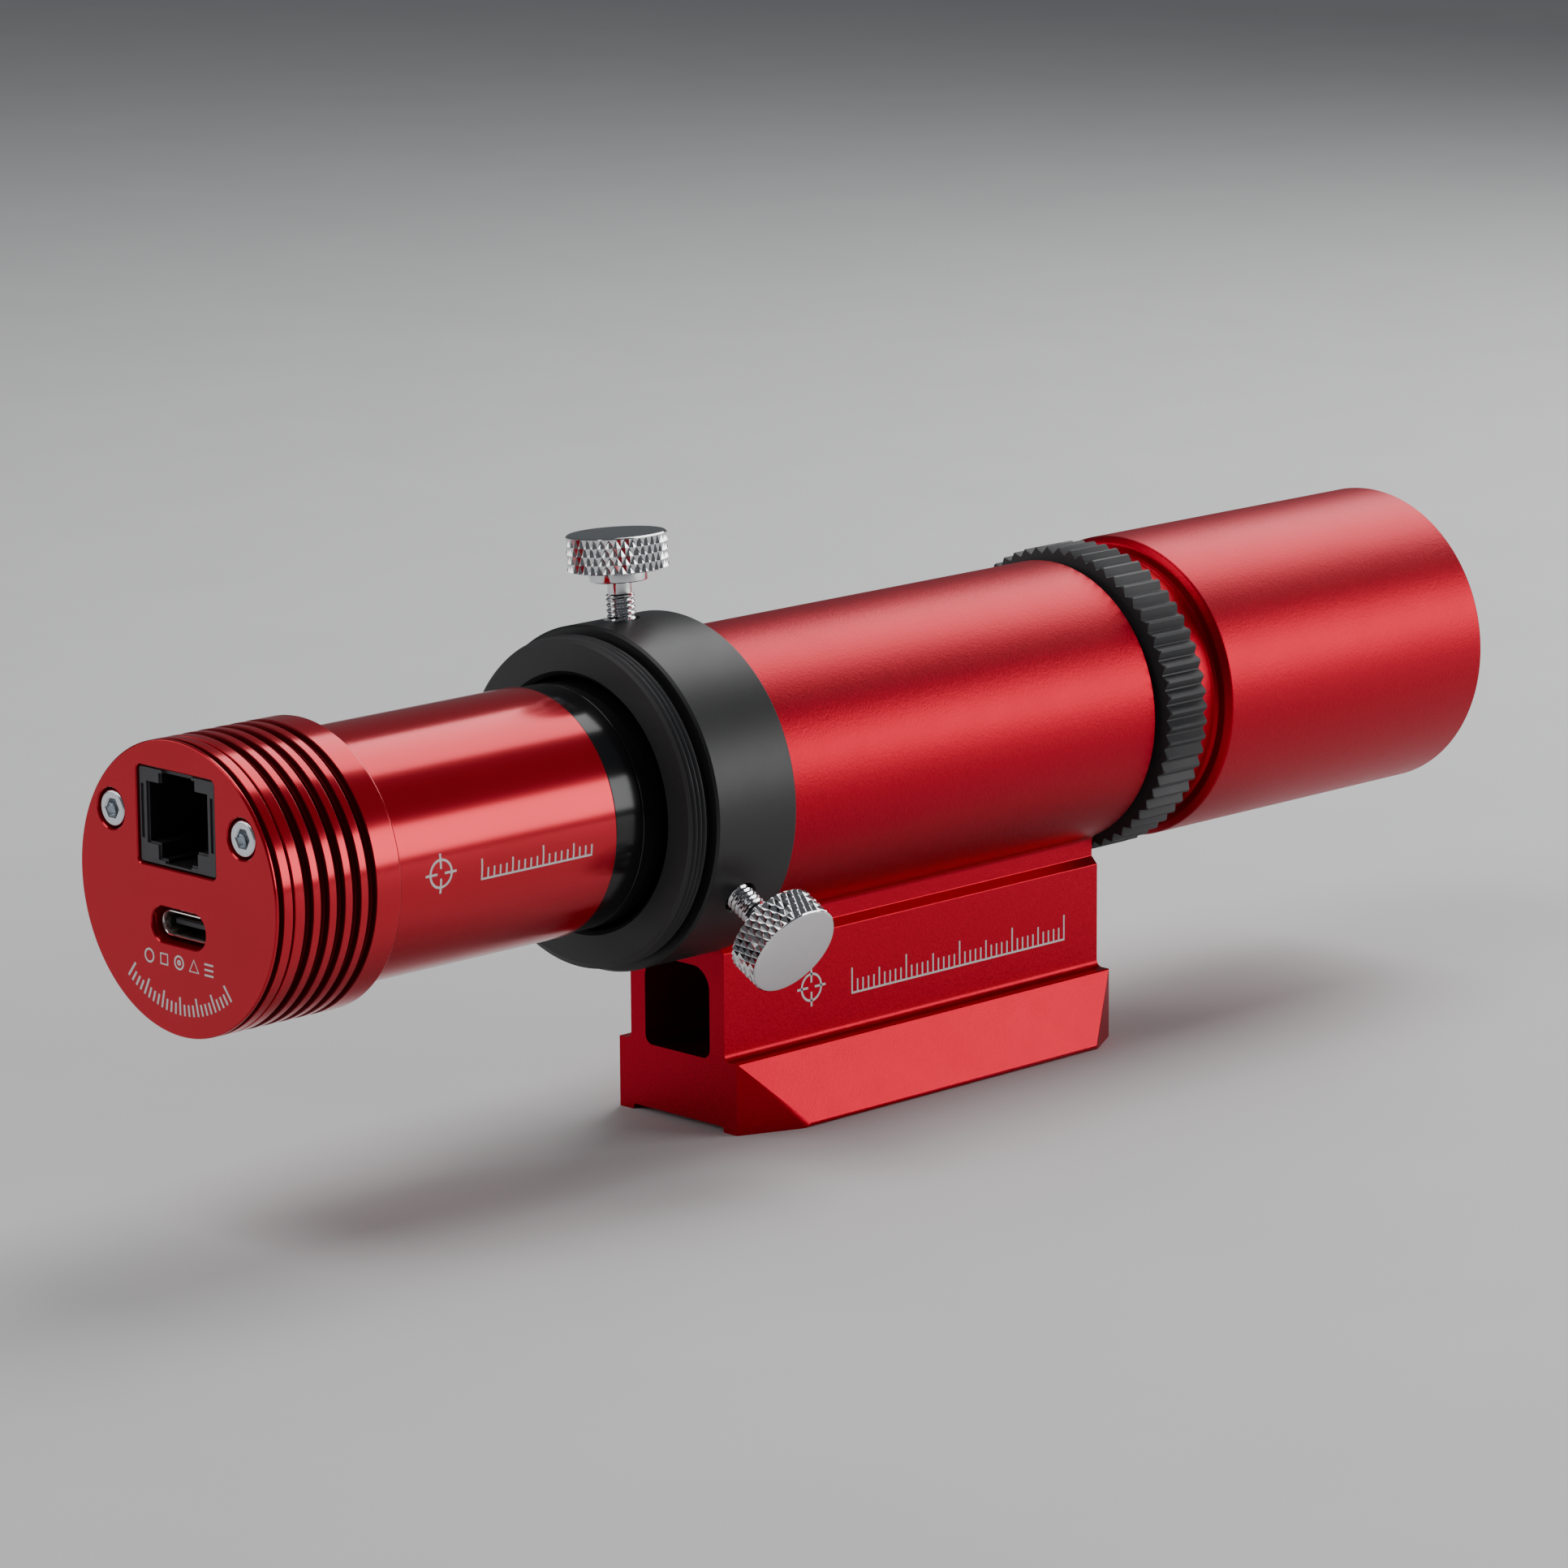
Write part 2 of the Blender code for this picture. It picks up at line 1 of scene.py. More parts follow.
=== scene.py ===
"""The looks of a small guide camera clamped in its guide scope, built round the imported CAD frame.

Lengths in the shape code are millimetres in the frame's own axes: +X towards the sky, +Z up. A turned
piece is an outline of (station, radius) corners, its station measured along the piece's own axis.
"""

from functools import reduce
from math import atan2, cos, hypot, pi, radians, sin, sqrt, tan

import bmesh
import bpy
import numpy as np
from mathutils import Matrix, Vector


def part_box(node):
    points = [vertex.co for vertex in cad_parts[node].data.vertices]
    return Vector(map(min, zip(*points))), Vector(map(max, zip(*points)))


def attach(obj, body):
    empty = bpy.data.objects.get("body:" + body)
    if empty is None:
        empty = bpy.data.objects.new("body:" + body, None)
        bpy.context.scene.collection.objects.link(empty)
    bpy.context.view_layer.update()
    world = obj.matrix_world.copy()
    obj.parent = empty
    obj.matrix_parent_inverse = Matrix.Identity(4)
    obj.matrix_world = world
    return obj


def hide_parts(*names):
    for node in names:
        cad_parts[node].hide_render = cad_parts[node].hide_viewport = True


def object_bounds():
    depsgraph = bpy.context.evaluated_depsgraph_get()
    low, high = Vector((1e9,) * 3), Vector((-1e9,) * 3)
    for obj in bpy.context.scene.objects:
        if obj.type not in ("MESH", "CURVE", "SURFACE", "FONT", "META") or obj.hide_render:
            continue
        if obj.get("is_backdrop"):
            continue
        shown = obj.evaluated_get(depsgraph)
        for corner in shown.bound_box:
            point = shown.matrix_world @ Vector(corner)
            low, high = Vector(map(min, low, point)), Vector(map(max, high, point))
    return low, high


MM = 0.001  # metres
ROUND = 192  # faces round a full turn
SMOOTH_BELOW = radians(35)
SAME_POINT = 0.0000005  # metres
REST = 0.12  # gap between pieces that touch
THREAD_PITCH = 0.75
SCREW_PITCH = 0.7
PRINT_HEIGHT = 0.015
PRINT_SUNK = 0.02

TUBE_RADIUS = 19.0
TUBE_BORE = 17.4
COLLAR_BORE = 16.16
BARREL_RADIUS = 15.85
BARREL_BORE = 14.2
FOOT_NECK = 7.6  # half-widths
FOOT_WAIST = 8.6
DOVETAIL_TOP = 10.85
DOVETAIL_BASE = 14.9

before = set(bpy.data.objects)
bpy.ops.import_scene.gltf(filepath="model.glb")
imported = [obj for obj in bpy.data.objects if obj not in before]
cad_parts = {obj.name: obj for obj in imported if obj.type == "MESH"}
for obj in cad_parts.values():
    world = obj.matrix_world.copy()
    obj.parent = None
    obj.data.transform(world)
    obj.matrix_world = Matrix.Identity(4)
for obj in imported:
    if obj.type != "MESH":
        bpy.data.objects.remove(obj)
CAD_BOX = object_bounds()


# Where things are, read from the frame


def span(node):
    """A node's lowest and highest station along X."""
    low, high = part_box(node)
    return low.x / MM, high.x / MM


def outer_radius(node):
    low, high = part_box(node)
    return (high.y - low.y) / 2 / MM


def middle(node):
    low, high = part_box(node)
    return (low + high) / 2 / MM


AXIS_Z = middle("dew_shield").z
AXIAL = Matrix(((0, 0, 1, 0), (1, 0, 0, 0), (0, 1, 0, AXIS_Z), (0, 0, 0, 1)))
CAMERA_REAR = span("back_plate")[0]
CAMERA = AXIAL @ Matrix.Translation((0, 0, CAMERA_REAR))
FOOT_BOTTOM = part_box("scope_body")[0].z / MM


def outward(node):
    """The frame of a thumbscrew: its Z points out from the optical axis, along the screw."""
    centre = middle(node)
    direction = Vector((0, centre.y, centre.z - AXIS_Z)).normalized()
    turn = Vector((0, 0, 1)).rotation_difference(direction).to_matrix().to_4x4()
    return Matrix.Translation((centre.x, 0, AXIS_Z)) @ turn


# Outlines


def rounded(corners, steps=4, closed=True):
    """A closed outline with an arc at each corner (a, b, radius); a corner (a, b) stays sharp."""
    points = []
    count = len(corners)
    for index, corner in enumerate(corners):
        here = Vector(corner[:2])
        radius = corner[2] if len(corner) > 2 else 0
        last = not closed and index in (0, count - 1)
        if radius == 0 or last:
            points.append(tuple(here))
            continue
        before = Vector(corners[index - 1][:2]) - here
        after = Vector(corners[(index + 1) % count][:2]) - here
        opening = before.angle(after)
        reach = min(radius / tan(opening / 2), 0.48 * before.length, 0.48 * after.length)
        radius = reach * tan(opening / 2)
        halfway = (before.normalized() + after.normalized()).normalized()
        centre = here + halfway * (radius / sin(opening / 2))
        start = here + before.normalized() * reach - centre
        sweep = pi - opening
        side = 1 if start.cross(before) < 0 else -1
        for step in range(steps + 1):
            angle = side * sweep * step / steps
            across = start.x * cos(angle) - start.y * sin(angle)
            along = start.x * sin(angle) + start.y * cos(angle)
            points.append(tuple(centre + Vector((across, along))))
    return points


def polar(radius, angle, centre=(0, 0)):
    return centre[0] + radius * cos(angle), centre[1] + radius * sin(angle)


def circle(radius, steps, centre=(0, 0), start=0.0):
    return [polar(radius, start + 2 * pi * index / steps, centre) for index in range(steps)]


def rounded_box(width, height, radius, centre=(0, 0), steps=6):
    right, top = width / 2, height / 2
    corners = [(-right, -top), (right, -top), (right, top), (-right, top)]
    return rounded([(centre[0] + x, centre[1] + y, radius) for x, y in corners], steps)


def even_steps(start, end, size):
    """Stations from start to end, about size apart."""
    count = max(1, round(abs(end - start) / size))
    return [start + (end - start) * index / count for index in range(count + 1)]


# Meshes


def new_object(name, data):
    thing = bpy.data.objects.new(name, data)
    bpy.context.scene.collection.objects.link(thing)
    return thing


def new_piece(name, points, faces, place, body, material, node=None, smooth_below=SMOOTH_BELOW):
    """Makes a piece from points in millimetres, in the frame that place gives, and puts it on its body.

    A cutter or a stage piece has no body. A piece with a node replaces that node of the CAD.
    """
    mesh = bpy.data.meshes.new(name)
    mesh.from_pydata([tuple(point) for point in points], [], faces)
    mesh.transform(Matrix.Scale(MM, 4) @ place)
    shape = bmesh.new()
    shape.from_mesh(mesh)
    bmesh.ops.remove_doubles(shape, verts=shape.verts, dist=SAME_POINT)
    bmesh.ops.recalc_face_normals(shape, faces=shape.faces)
    shape.to_mesh(mesh)
    shape.free()
    piece = new_object(name, mesh)
    mesh.materials.append(material)
    soften(piece, smooth_below)
    if body is not None:
        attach(piece, body)
    if node is not None:
        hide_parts(node)
    return piece


def soften(piece, below=SMOOTH_BELOW):
    """Smooth shading between sharp corners."""
    piece.data.shade_smooth()
    piece.data.set_sharp_from_angle(angle=below)


def even_shading(piece):
    """Lets large faces keep their own direction beside small rounded edges."""
    weighted = piece.modifiers.new("Even_shading", "WEIGHTED_NORMAL")
    weighted.keep_sharp = True


def turned(name, outline, place, body, material, relief=None, steps=ROUND, knurled=(), **links):
    """A turned piece. Its outline runs from the axis to the axis, or closes on itself round a bore.

    relief(station, radius, angles) may change the radius round each ring. The rows of faces that
    start at the rings named in knurled are split along alternate diagonals.
    """
    angles = np.arange(steps) * 2 * pi / steps
    rings = []
    for station, radius in outline:
        reach = np.full(steps, relief(station, radius, angles) if relief else radius, float)
        stations = np.full(steps, station)
        rings.append(np.stack([reach * np.cos(angles), reach * np.sin(angles), stations], 1))
    points = np.concatenate(rings)
    faces = []
    bored = outline[0][1] > 0
    for near in range(len(outline) if bored else len(outline) - 1):
        far = (near + 1) % len(outline)
        for column in range(steps):
            beside = (column + 1) % steps
            low, low_next = near * steps + column, near * steps + beside
            high, high_next = far * steps + column, far * steps + beside
            if near not in knurled:
                faces.append((low, low_next, high_next, high))
            elif (near - knurled[0] + column) % 2 == 0:
                faces += [(low, low_next, high_next), (low, high_next, high)]
            else:
                faces += [(low, low_next, high), (low_next, high_next, high)]
    piece = new_piece(name, points, faces, place, body, material, **links)
    if not relief:
        even_shading(piece)
    return piece


def lofted(name, sections, place, body, material, ring=False, **links):
    """A solid through outlines of equal length at their heights, capped at both ends.

    A ring's outlines follow the section of its wall and join up, with no caps.
    """
    levels, count = len(sections), len(sections[0][1])
    points = [(x, y, height) for height, outline in sections for x, y in outline]
    faces = []
    if not ring:
        faces = [tuple(range(count)), tuple(len(points) - 1 - index for index in range(count))]
    for level in range(levels if ring else levels - 1):
        near, far = level * count, (level + 1) % levels * count
        for index in range(count):
            beside = (index + 1) % count
            faces.append((near + index, near + beside, far + beside, far + index))
    return new_piece(name, points, faces, place, body, material, **links)


def cutter(name, sections, place):
    return lofted(name, sections, place, None, None)


def carve(piece, cutters):
    """Cuts each cutter out of a piece, then removes it."""
    piece.modifiers.clear()
    for tool in cutters:
        piece.modifiers.new(tool.name, "BOOLEAN").object = tool
        evaluated = piece.evaluated_get(bpy.context.evaluated_depsgraph_get())
        cut = bpy.data.meshes.new_from_object(evaluated)
        piece.modifiers.clear()
        piece.data = cut
        bpy.data.objects.remove(tool, do_unlink=True)
    soften(piece)
    even_shading(piece)


def break_edges(piece, width):
    """Rounds the sharp edges of a carved piece, then evens the shading again."""
    piece.modifiers.clear()
    bevel = piece.modifiers.new("Broken_edges", "BEVEL")
    bevel.width = width * MM
    bevel.segments = 2
    bevel.limit_method = "ANGLE"
    bevel.angle_limit = radians(40)
    bevel.harden_normals = True
    even_shading(piece)


def paint_where(piece, material, test):
    """Gives the faces that pass test(centre, normal) a second material."""
    piece.data.materials.append(material)
    index = len(piece.data.materials) - 1
    for face in piece.data.polygons:
        if test(face.center / MM, face.normal):
            face.material_index = index


# Surface reliefs


def thread_relief(low, high, depth, pitch, fade):
    """A right-hand V thread cut into the crest radius between two stations, running out at both."""

    def relief(station, radius, angles):
        turn = (station / pitch - angles / (2 * pi)) % 1.0
        ridge = np.clip((1 - abs(2 * turn - 1)) * 1.3 - 0.12, 0, 1)
        inside = min(max((station - low) / fade, 0), max((high - station) / fade, 0), 1)
        return radius - depth * inside * (1 - ridge)

    return relief


# Materials


class Graph:
    """A procedural material under construction."""

    def __init__(self, name, colour, roughness, metallic=0.0, **inputs):
        self.material = bpy.data.materials.new(name)
        self.material.use_nodes = True
        self.tree = self.material.node_tree
        self.link = self.tree.links.new
        self.shader = self.tree.nodes["Principled BSDF"]
        self.shader.inputs["Base Color"].default_value = (*colour, 1)
        self.shader.inputs["Roughness"].default_value = roughness
        self.shader.inputs["Metallic"].default_value = metallic
        for key, value in inputs.items():
            self.shader.inputs[key.replace("_", " ")].default_value = value
        self.material.diffuse_color = (*colour, 1)
        self.here = self.add("TexCoord").outputs["Object"]

    def add(self, kind, inputs=None, **settings):
        node = self.tree.nodes.new("ShaderNode" + kind)
        for key, value in settings.items():
            setattr(node, key, value)
        for key, value in (inputs or {}).items():
            if isinstance(value, bpy.types.NodeSocket):
                self.link(value, node.inputs[key])
            else:
                node.inputs[key].default_value = value
        return node

    def math(self, operation, first, second=0.0):
        return self.add("Math", {0: first, 1: second}, operation=operation).outputs[0]

    def noise(self, size, detail=2.0, stretch=(1, 1, 1)):
        """Noise whose features are about size millimetres, drawn out along an axis by stretch."""
        scale = tuple(1 / (size * MM * factor) for factor in stretch)
        spread = self.add("Mapping", {"Vector": self.here, "Scale": scale}).outputs[0]
        inputs = {"Vector": spread, "Scale": 1.0, "Detail": detail}
        return self.add("TexNoise", inputs).outputs["Fac"]

    def turning(self, size):
        """Noise in rings about the optical axis, as a lathe tool leaves on bores and faces alike."""
        parts = self.add("SeparateXYZ", {0: self.here}).outputs
        height = self.math("SUBTRACT", parts[2], AXIS_Z * MM)
        across_square = self.math("MULTIPLY", parts[1], parts[1])
        square = self.math("ADD", across_square, self.math("MULTIPLY", height, height))
        reach = self.math("ADD", self.math("SQRT", square), parts[0])
        inputs = {"W": self.math("MULTIPLY", reach, 1 / (size * MM)), "Scale": 1.0, "Detail": 1.5}
        return self.add("TexNoise", inputs, noise_dimensions="1D").outputs[0]

    def between(self, value, low, high):
        inputs = {"Value": value, "To Min": low, "To Max": high}
        return self.add("MapRange", inputs).outputs[0]

    def roughness(self, *values):
        total = reduce(lambda first, second: self.math("ADD", first, second), values)
        self.link(total, self.shader.inputs["Roughness"])

    def colour(self, factor, first, second):
        # A Mix node's colour sockets go by number: 6 and 7 in, 2 out.
        inputs = {"Factor": factor, 6: (*first, 1), 7: (*second, 1)}
        mix = self.add("Mix", inputs, data_type="RGBA")
        self.link(mix.outputs[2], self.shader.inputs["Base Color"])

    def bump(self, height, depth, strength):
        """Raises the surface by up to depth millimetres."""
        inputs = {"Height": height, "Distance": depth * MM, "Strength": strength}
        last = self.shader.inputs["Normal"]
        if last.is_linked:
            inputs["Normal"] = last.links[0].from_socket
        self.link(self.add("Bump", inputs).outputs[0], last)


def satin_red():
    """Red dye under clear oxide on a finely turned surface."""
    red = Graph("satin_red", (0.53, 0.0, 0.017), 0.17, 0.64, Coat_Weight=0.1, Coat_Roughness=0.12)
    lines = red.turning(0.14)
    haze = red.noise(6.0, 3)
    red.colour(red.noise(14.0, 2), (0.47, 0.0, 0.013), (0.54, 0.001, 0.018))
    red.roughness(red.between(lines, 0.16, 0.18), red.between(haze, 0.0, 0.008))
    return red.material


def painted_groove_shade():
    """A darker, rougher red laid in the fins' grooves and the back plate's groove: painted shade
    standing in for the shadow at their bottoms.
    """
    red = Graph("painted_groove_shade", (0.16, 0.0, 0.006), 0.4, 0.8)
    lines = red.turning(0.2)
    red.colour(lines, (0.13, 0.0, 0.004), (0.19, 0.0, 0.007))
    red.roughness(red.between(red.noise(3.0, 2), 0.35, 0.5))
    red.bump(lines, 0.002, 0.5)
    return red.material


def blasted_red():
    """Red dye on a bead-blasted surface: an even, fine-grained matte."""
    red = Graph("blasted_red", (0.4, 0.0, 0.016), 0.36, 1.0, Coat_Weight=0.06, Coat_Roughness=0.4)
    grain = red.noise(0.3, 3)
    lumps = red.noise(0.9, 2)
    red.colour(grain, (0.33, 0.0, 0.012), (0.47, 0.001, 0.02))
    red.roughness(red.between(grain, 0.33, 0.45), red.between(red.noise(5.0, 2), 0.0, 0.04))
    red.bump(grain, 0.045, 0.6)
    red.bump(lumps, 0.03, 0.35)
    return red.material


def black_anodised(name="black_anodised", low=0.34, high=0.46, shade=0.019):
    black = Graph(name, (shade, shade, 1.06 * shade), 0.4, 0.3)
    grain = black.noise(0.2, 3)
    darker, lighter = 0.7 * shade, 1.3 * shade
    black.colour(grain, (darker, darker, 0.75 * shade), (lighter, lighter, 1.38 * shade))
    black.roughness(black.between(grain, low, high), black.between(black.noise(4.0, 2), 0.0, 0.05))
    black.bump(grain, 0.016, 0.5)
    black.bump(black.turning(0.2), 0.002, 0.3)
    return black.material


def gloss_black():
    black = Graph("gloss_black", (0.006, 0.006, 0.007), 0.12, 0.0, Specular_IOR_Level=0.35)
    lines = black.turning(0.12)
    black.roughness(black.between(lines, 0.08, 0.14), black.between(black.noise(5.0, 3), 0.0, 0.06))
    black.bump(lines, 0.0008, 0.5)
    return black.material


def light_trap_and_shade():
    """Flat black paint inside the optical path, also laid on the jack mouth's inner walls as painted
    shade.
    """
    black = Graph("light_trap_and_shade", (0.004, 0.004, 0.004), 0.85, 0.0, Specular_IOR_Level=0.2)
    grain = black.noise(0.15, 3)
    black.colour(grain, (0.003, 0.003, 0.003), (0.007, 0.007, 0.007))
    black.roughness(black.between(grain, 0.75, 0.95))
    black.bump(grain, 0.01, 0.6)
    return black.material


def polished(name, colour, rough, smear, lines=0.0):
    """Bright metal with fine scratches and a little handling haze."""
    metal = Graph(name, colour, rough, 1.0)
    scratches = metal.noise(0.05, 2, (30, 1, 1))
    metal.colour(metal.noise(3.0, 2), tuple(0.93 * part for part in colour), colour)
    haze = metal.noise(2.5, 3)
    metal.roughness(metal.between(scratches, rough * 0.7, rough * 1.4), metal.between(haze, 0.0, smear))
    metal.bump(scratches, 0.0006, 0.25)
    if lines:
        metal.bump(metal.turning(0.08), lines, 0.4)
    return metal.material


def plastic(name, colour, low, high, grain_size=0.09, depth=0.004, **inputs):
    """A moulded surface with the fine sparkle of its tool."""
    moulded = Graph(name, colour, low, 0.0, **inputs)
    grain = moulded.noise(grain_size, 2)
    darker, lighter = (tuple(factor * part for part in colour) for factor in (0.8, 1.15))
    moulded.colour(moulded.noise(2.0, 3), darker, lighter)
    moulded.roughness(moulded.between(grain, low, high))
    moulded.bump(grain, depth, 0.5)
    return moulded.material


def printed_white():
    ink = Graph("printed_white", (0.72, 0.72, 0.72), 0.5)
    cover = ink.noise(0.12, 3)
    ink.colour(cover, (0.6, 0.6, 0.6), (0.78, 0.78, 0.78))
    ink.roughness(ink.between(cover, 0.42, 0.62))
    return ink.material


def circuit_board():
    """Green mask over copper tracks."""
    board = Graph("circuit_board", (0.01, 0.12, 0.05), 0.35)
    inputs = {"Vector": board.here, "Scale": 900.0}
    tracks = board.add("TexVoronoi", inputs, feature="DISTANCE_TO_EDGE")
    line = board.math("LESS_THAN", tracks.outputs["Distance"], 0.06)
    board.colour(line, (0.008, 0.09, 0.04), (0.03, 0.22, 0.08))
    board.roughness(board.between(board.noise(0.4, 2), 0.28, 0.42))
    board.bump(line, 0.02, 0.5)
    return board.material


def film():
    """Amber flexible-circuit film with its conductors showing through."""
    sheet = Graph("film", (0.5, 0.28, 0.06), 0.35)
    bands = sheet.add("TexWave", {"Vector": sheet.here, "Scale": 1500.0}, bands_direction="Y")
    sheet.colour(bands.outputs["Fac"], (0.35, 0.16, 0.03), (0.6, 0.36, 0.1))
    sheet.roughness(sheet.between(sheet.noise(0.8, 2), 0.25, 0.4))
    return sheet.material


def silicon():
    """The image sensor: a dark die with a faint grid."""
    die = Graph("silicon", (0.03, 0.03, 0.05), 0.12, 0.4, Coat_Weight=0.8, Coat_Roughness=0.02)
    grid = die.add("TexBrick", {"Vector": die.here, "Scale": 300.0}).outputs["Fac"]
    die.colour(grid, (0.02, 0.03, 0.06), (0.05, 0.05, 0.05))
    die.roughness(die.between(die.noise(1.0, 2), 0.08, 0.16))
    return die.material


def coated_glass(name, tint, reflection):
    """Optical glass with a faint coloured reflection from its coating."""
    glass = Graph(name, tint, 0.0, Transmission_Weight=1.0, IOR=1.52)
    glass.shader.inputs["Specular Tint"].default_value = (*reflection, 1)
    glass.roughness(glass.between(glass.noise(8.0, 3), 0.0, 0.012))
    glass.colour(glass.noise(20.0, 2), tint, tuple(min(1.0, part * 1.02) for part in tint))
    return glass.material


SATIN_RED = satin_red()
PAINTED_GROOVE_SHADE = painted_groove_shade()
BLASTED_RED = blasted_red()
BLACK = black_anodised()
ROUGH_BLACK = black_anodised("rough_black_anodised", 0.45, 0.6, 0.04)
GLOSS_BLACK = gloss_black()
LIGHT_TRAP_AND_SHADE = light_trap_and_shade()
CHROME = polished("chrome_plate", (0.75, 0.75, 0.765), 0.05, 0.03)
ZINC = polished("zinc_plate", (0.74, 0.77, 0.81), 0.14, 0.08, 0.001)
STEEL = polished("drawn_steel", (0.62, 0.6, 0.58), 0.16, 0.08)
GOLD = polished("gold_plate", (0.83, 0.6, 0.22), 0.16, 0.06)
BRASS = polished("brass", (0.7, 0.5, 0.2), 0.25, 0.1)
BLACK_PLASTIC = plastic("black_plastic", (0.045, 0.045, 0.05), 0.4, 0.55, 0.12, 0.008)
NYLON = plastic("nylon", (0.8, 0.79, 0.74), 0.4, 0.55, Subsurface_Weight=0.2)
RUBBER = plastic("rubber", (0.02, 0.02, 0.02), 0.7, 0.9, 0.2, 0.01)
INK = printed_white()
BOARD = circuit_board()
FILM = film()
SILICON = silicon()
LENS_GLASS = coated_glass("lens_glass", (0.97, 0.99, 0.98), (0.4, 0.9, 0.6))
WINDOW_GLASS = coated_glass("window_glass", (0.96, 0.98, 0.99), (0.5, 0.6, 1.0))


# The scope


def build_scope_tube():
    rear, end = span("scope_body")
    front = span("lock_ring")[0] - 1.39
    crest, light_bore = 16.9, 15.4
    thread_low, thread_high = front + 0.2, end - 0.3
    step = front - 3.9
    corners = [(rear, TUBE_RADIUS, 0.2), (front, TUBE_RADIUS, 0.2), (front, crest, 0.05)]
    corners += [(station, crest) for station in even_steps(thread_low, thread_high, THREAD_PITCH / 9)]
    corners += [(end, crest - 0.5), (end, light_bore)]
    corners += [(step, light_bore), (step, TUBE_BORE), (rear, TUBE_BORE)]
    outline = rounded(corners)
    relief = thread_relief(thread_low, thread_high, 0.44, THREAD_PITCH, 0.3)
    tube = turned("scope_tube", outline, AXIAL, "scope", BLASTED_RED, relief, node="scope_body")
    even_shading(tube)
    paint_where(tube, BLACK, lambda centre, normal: centre.x > front + 0.05)
    blacken_inside(tube, TUBE_BORE)
    return rear, front


def distance(point):
    """How far a point is from the optical axis."""
    return hypot(point.y, point.z - AXIS_Z)


def blacken_inside(tube, bore):
    """Paints a tube flat black where it faces its bore or the sky."""

    def inside(centre, normal):
        inward = normal.y * centre.y + normal.z * (centre.z - AXIS_Z) < 0
        return distance(centre) < bore + 0.1 and (inward or normal.x > 0.5)

    paint_where(tube, LIGHT_TRAP_AND_SHADE, inside)


def foot_section():
    """Half of the foot's section, (y, z from the axis), from inside the tube's wall to the channel."""
    fillet, steps, channel = 1.0, 6, 8.3
    centre_y = FOOT_NECK + fillet
    centre_z = -sqrt((TUBE_RADIUS + fillet) ** 2 - centre_y**2)
    touch = TUBE_RADIUS / (TUBE_RADIUS + fillet)
    inside_wall = 0.955 * touch
    lead = [(inside_wall * centre_y, inside_wall * centre_z)]
    start = atan2(centre_z * touch - centre_z, centre_y * touch - centre_y)
    for step in range(steps + 1):
        angle = start + (pi - start) * step / steps
        lead.append(polar(fillet, angle, (centre_y, centre_z)))
    floor = -AXIS_Z
    rail = FOOT_BOTTOM - AXIS_Z
    neck_end, waist_start, shoulder = -20.0, -21.0, -35.0
    corners = [(FOOT_NECK, neck_end, 0.25), (FOOT_WAIST, waist_start, 0.25)]
    corners += [(FOOT_WAIST, shoulder, 0.9), (DOVETAIL_TOP, shoulder, 0.25)]
    corners += [(DOVETAIL_BASE, rail, 0.5), (channel, rail, 0.3), (channel, floor, 0.45)]
    body = rounded([lead[-1], *corners, (0, floor)], 5, closed=False)
    return lead + body[1:-1]


def build_foot(rear, front):
    """The bracket and its dovetail, with the tunnel through it and its bevelled ends."""
    half_end = 10.8
    side = foot_section()
    section = side + [(-y, z) for y, z in reversed(side)]
    foot = lofted("dovetail_foot", [(rear, section), (front, section)], AXIAL, "scope", BLASTED_RED)
    top, bottom, half = -23.3, -35.2, 5.94
    corners = [(-half, bottom, 1.3), (half, bottom, 1.3), (half, top, 3.0), (-half, top, 3.0)]
    window = rounded(corners, 8)
    sections = [(rear - 1, window), (front + 1, window)]
    cutters = [cutter("window_cutter", sections, AXIAL)]
    upright = Matrix.Translation((0, 0, AXIS_Z))
    for end, inward, length in ((rear, 1, 10.1), (front, -1, 7.0)):
        slope = length / (DOVETAIL_BASE - half_end)
        for hand in (1, -1):
            tip = end - inward
            past = hand * (DOVETAIL_BASE + 2)
            corner = [(tip, hand * (half_end - 1 / slope))]
            corner += [(end + inward * (length + 2 * slope), past), (tip, past)]
            name = f"bevel_cutter_{len(cutters)}"
            cutters.append(cutter(name, [(-50, corner), (-30, corner)], upright))
    carve(foot, cutters)
    break_edges(foot, 0.16)


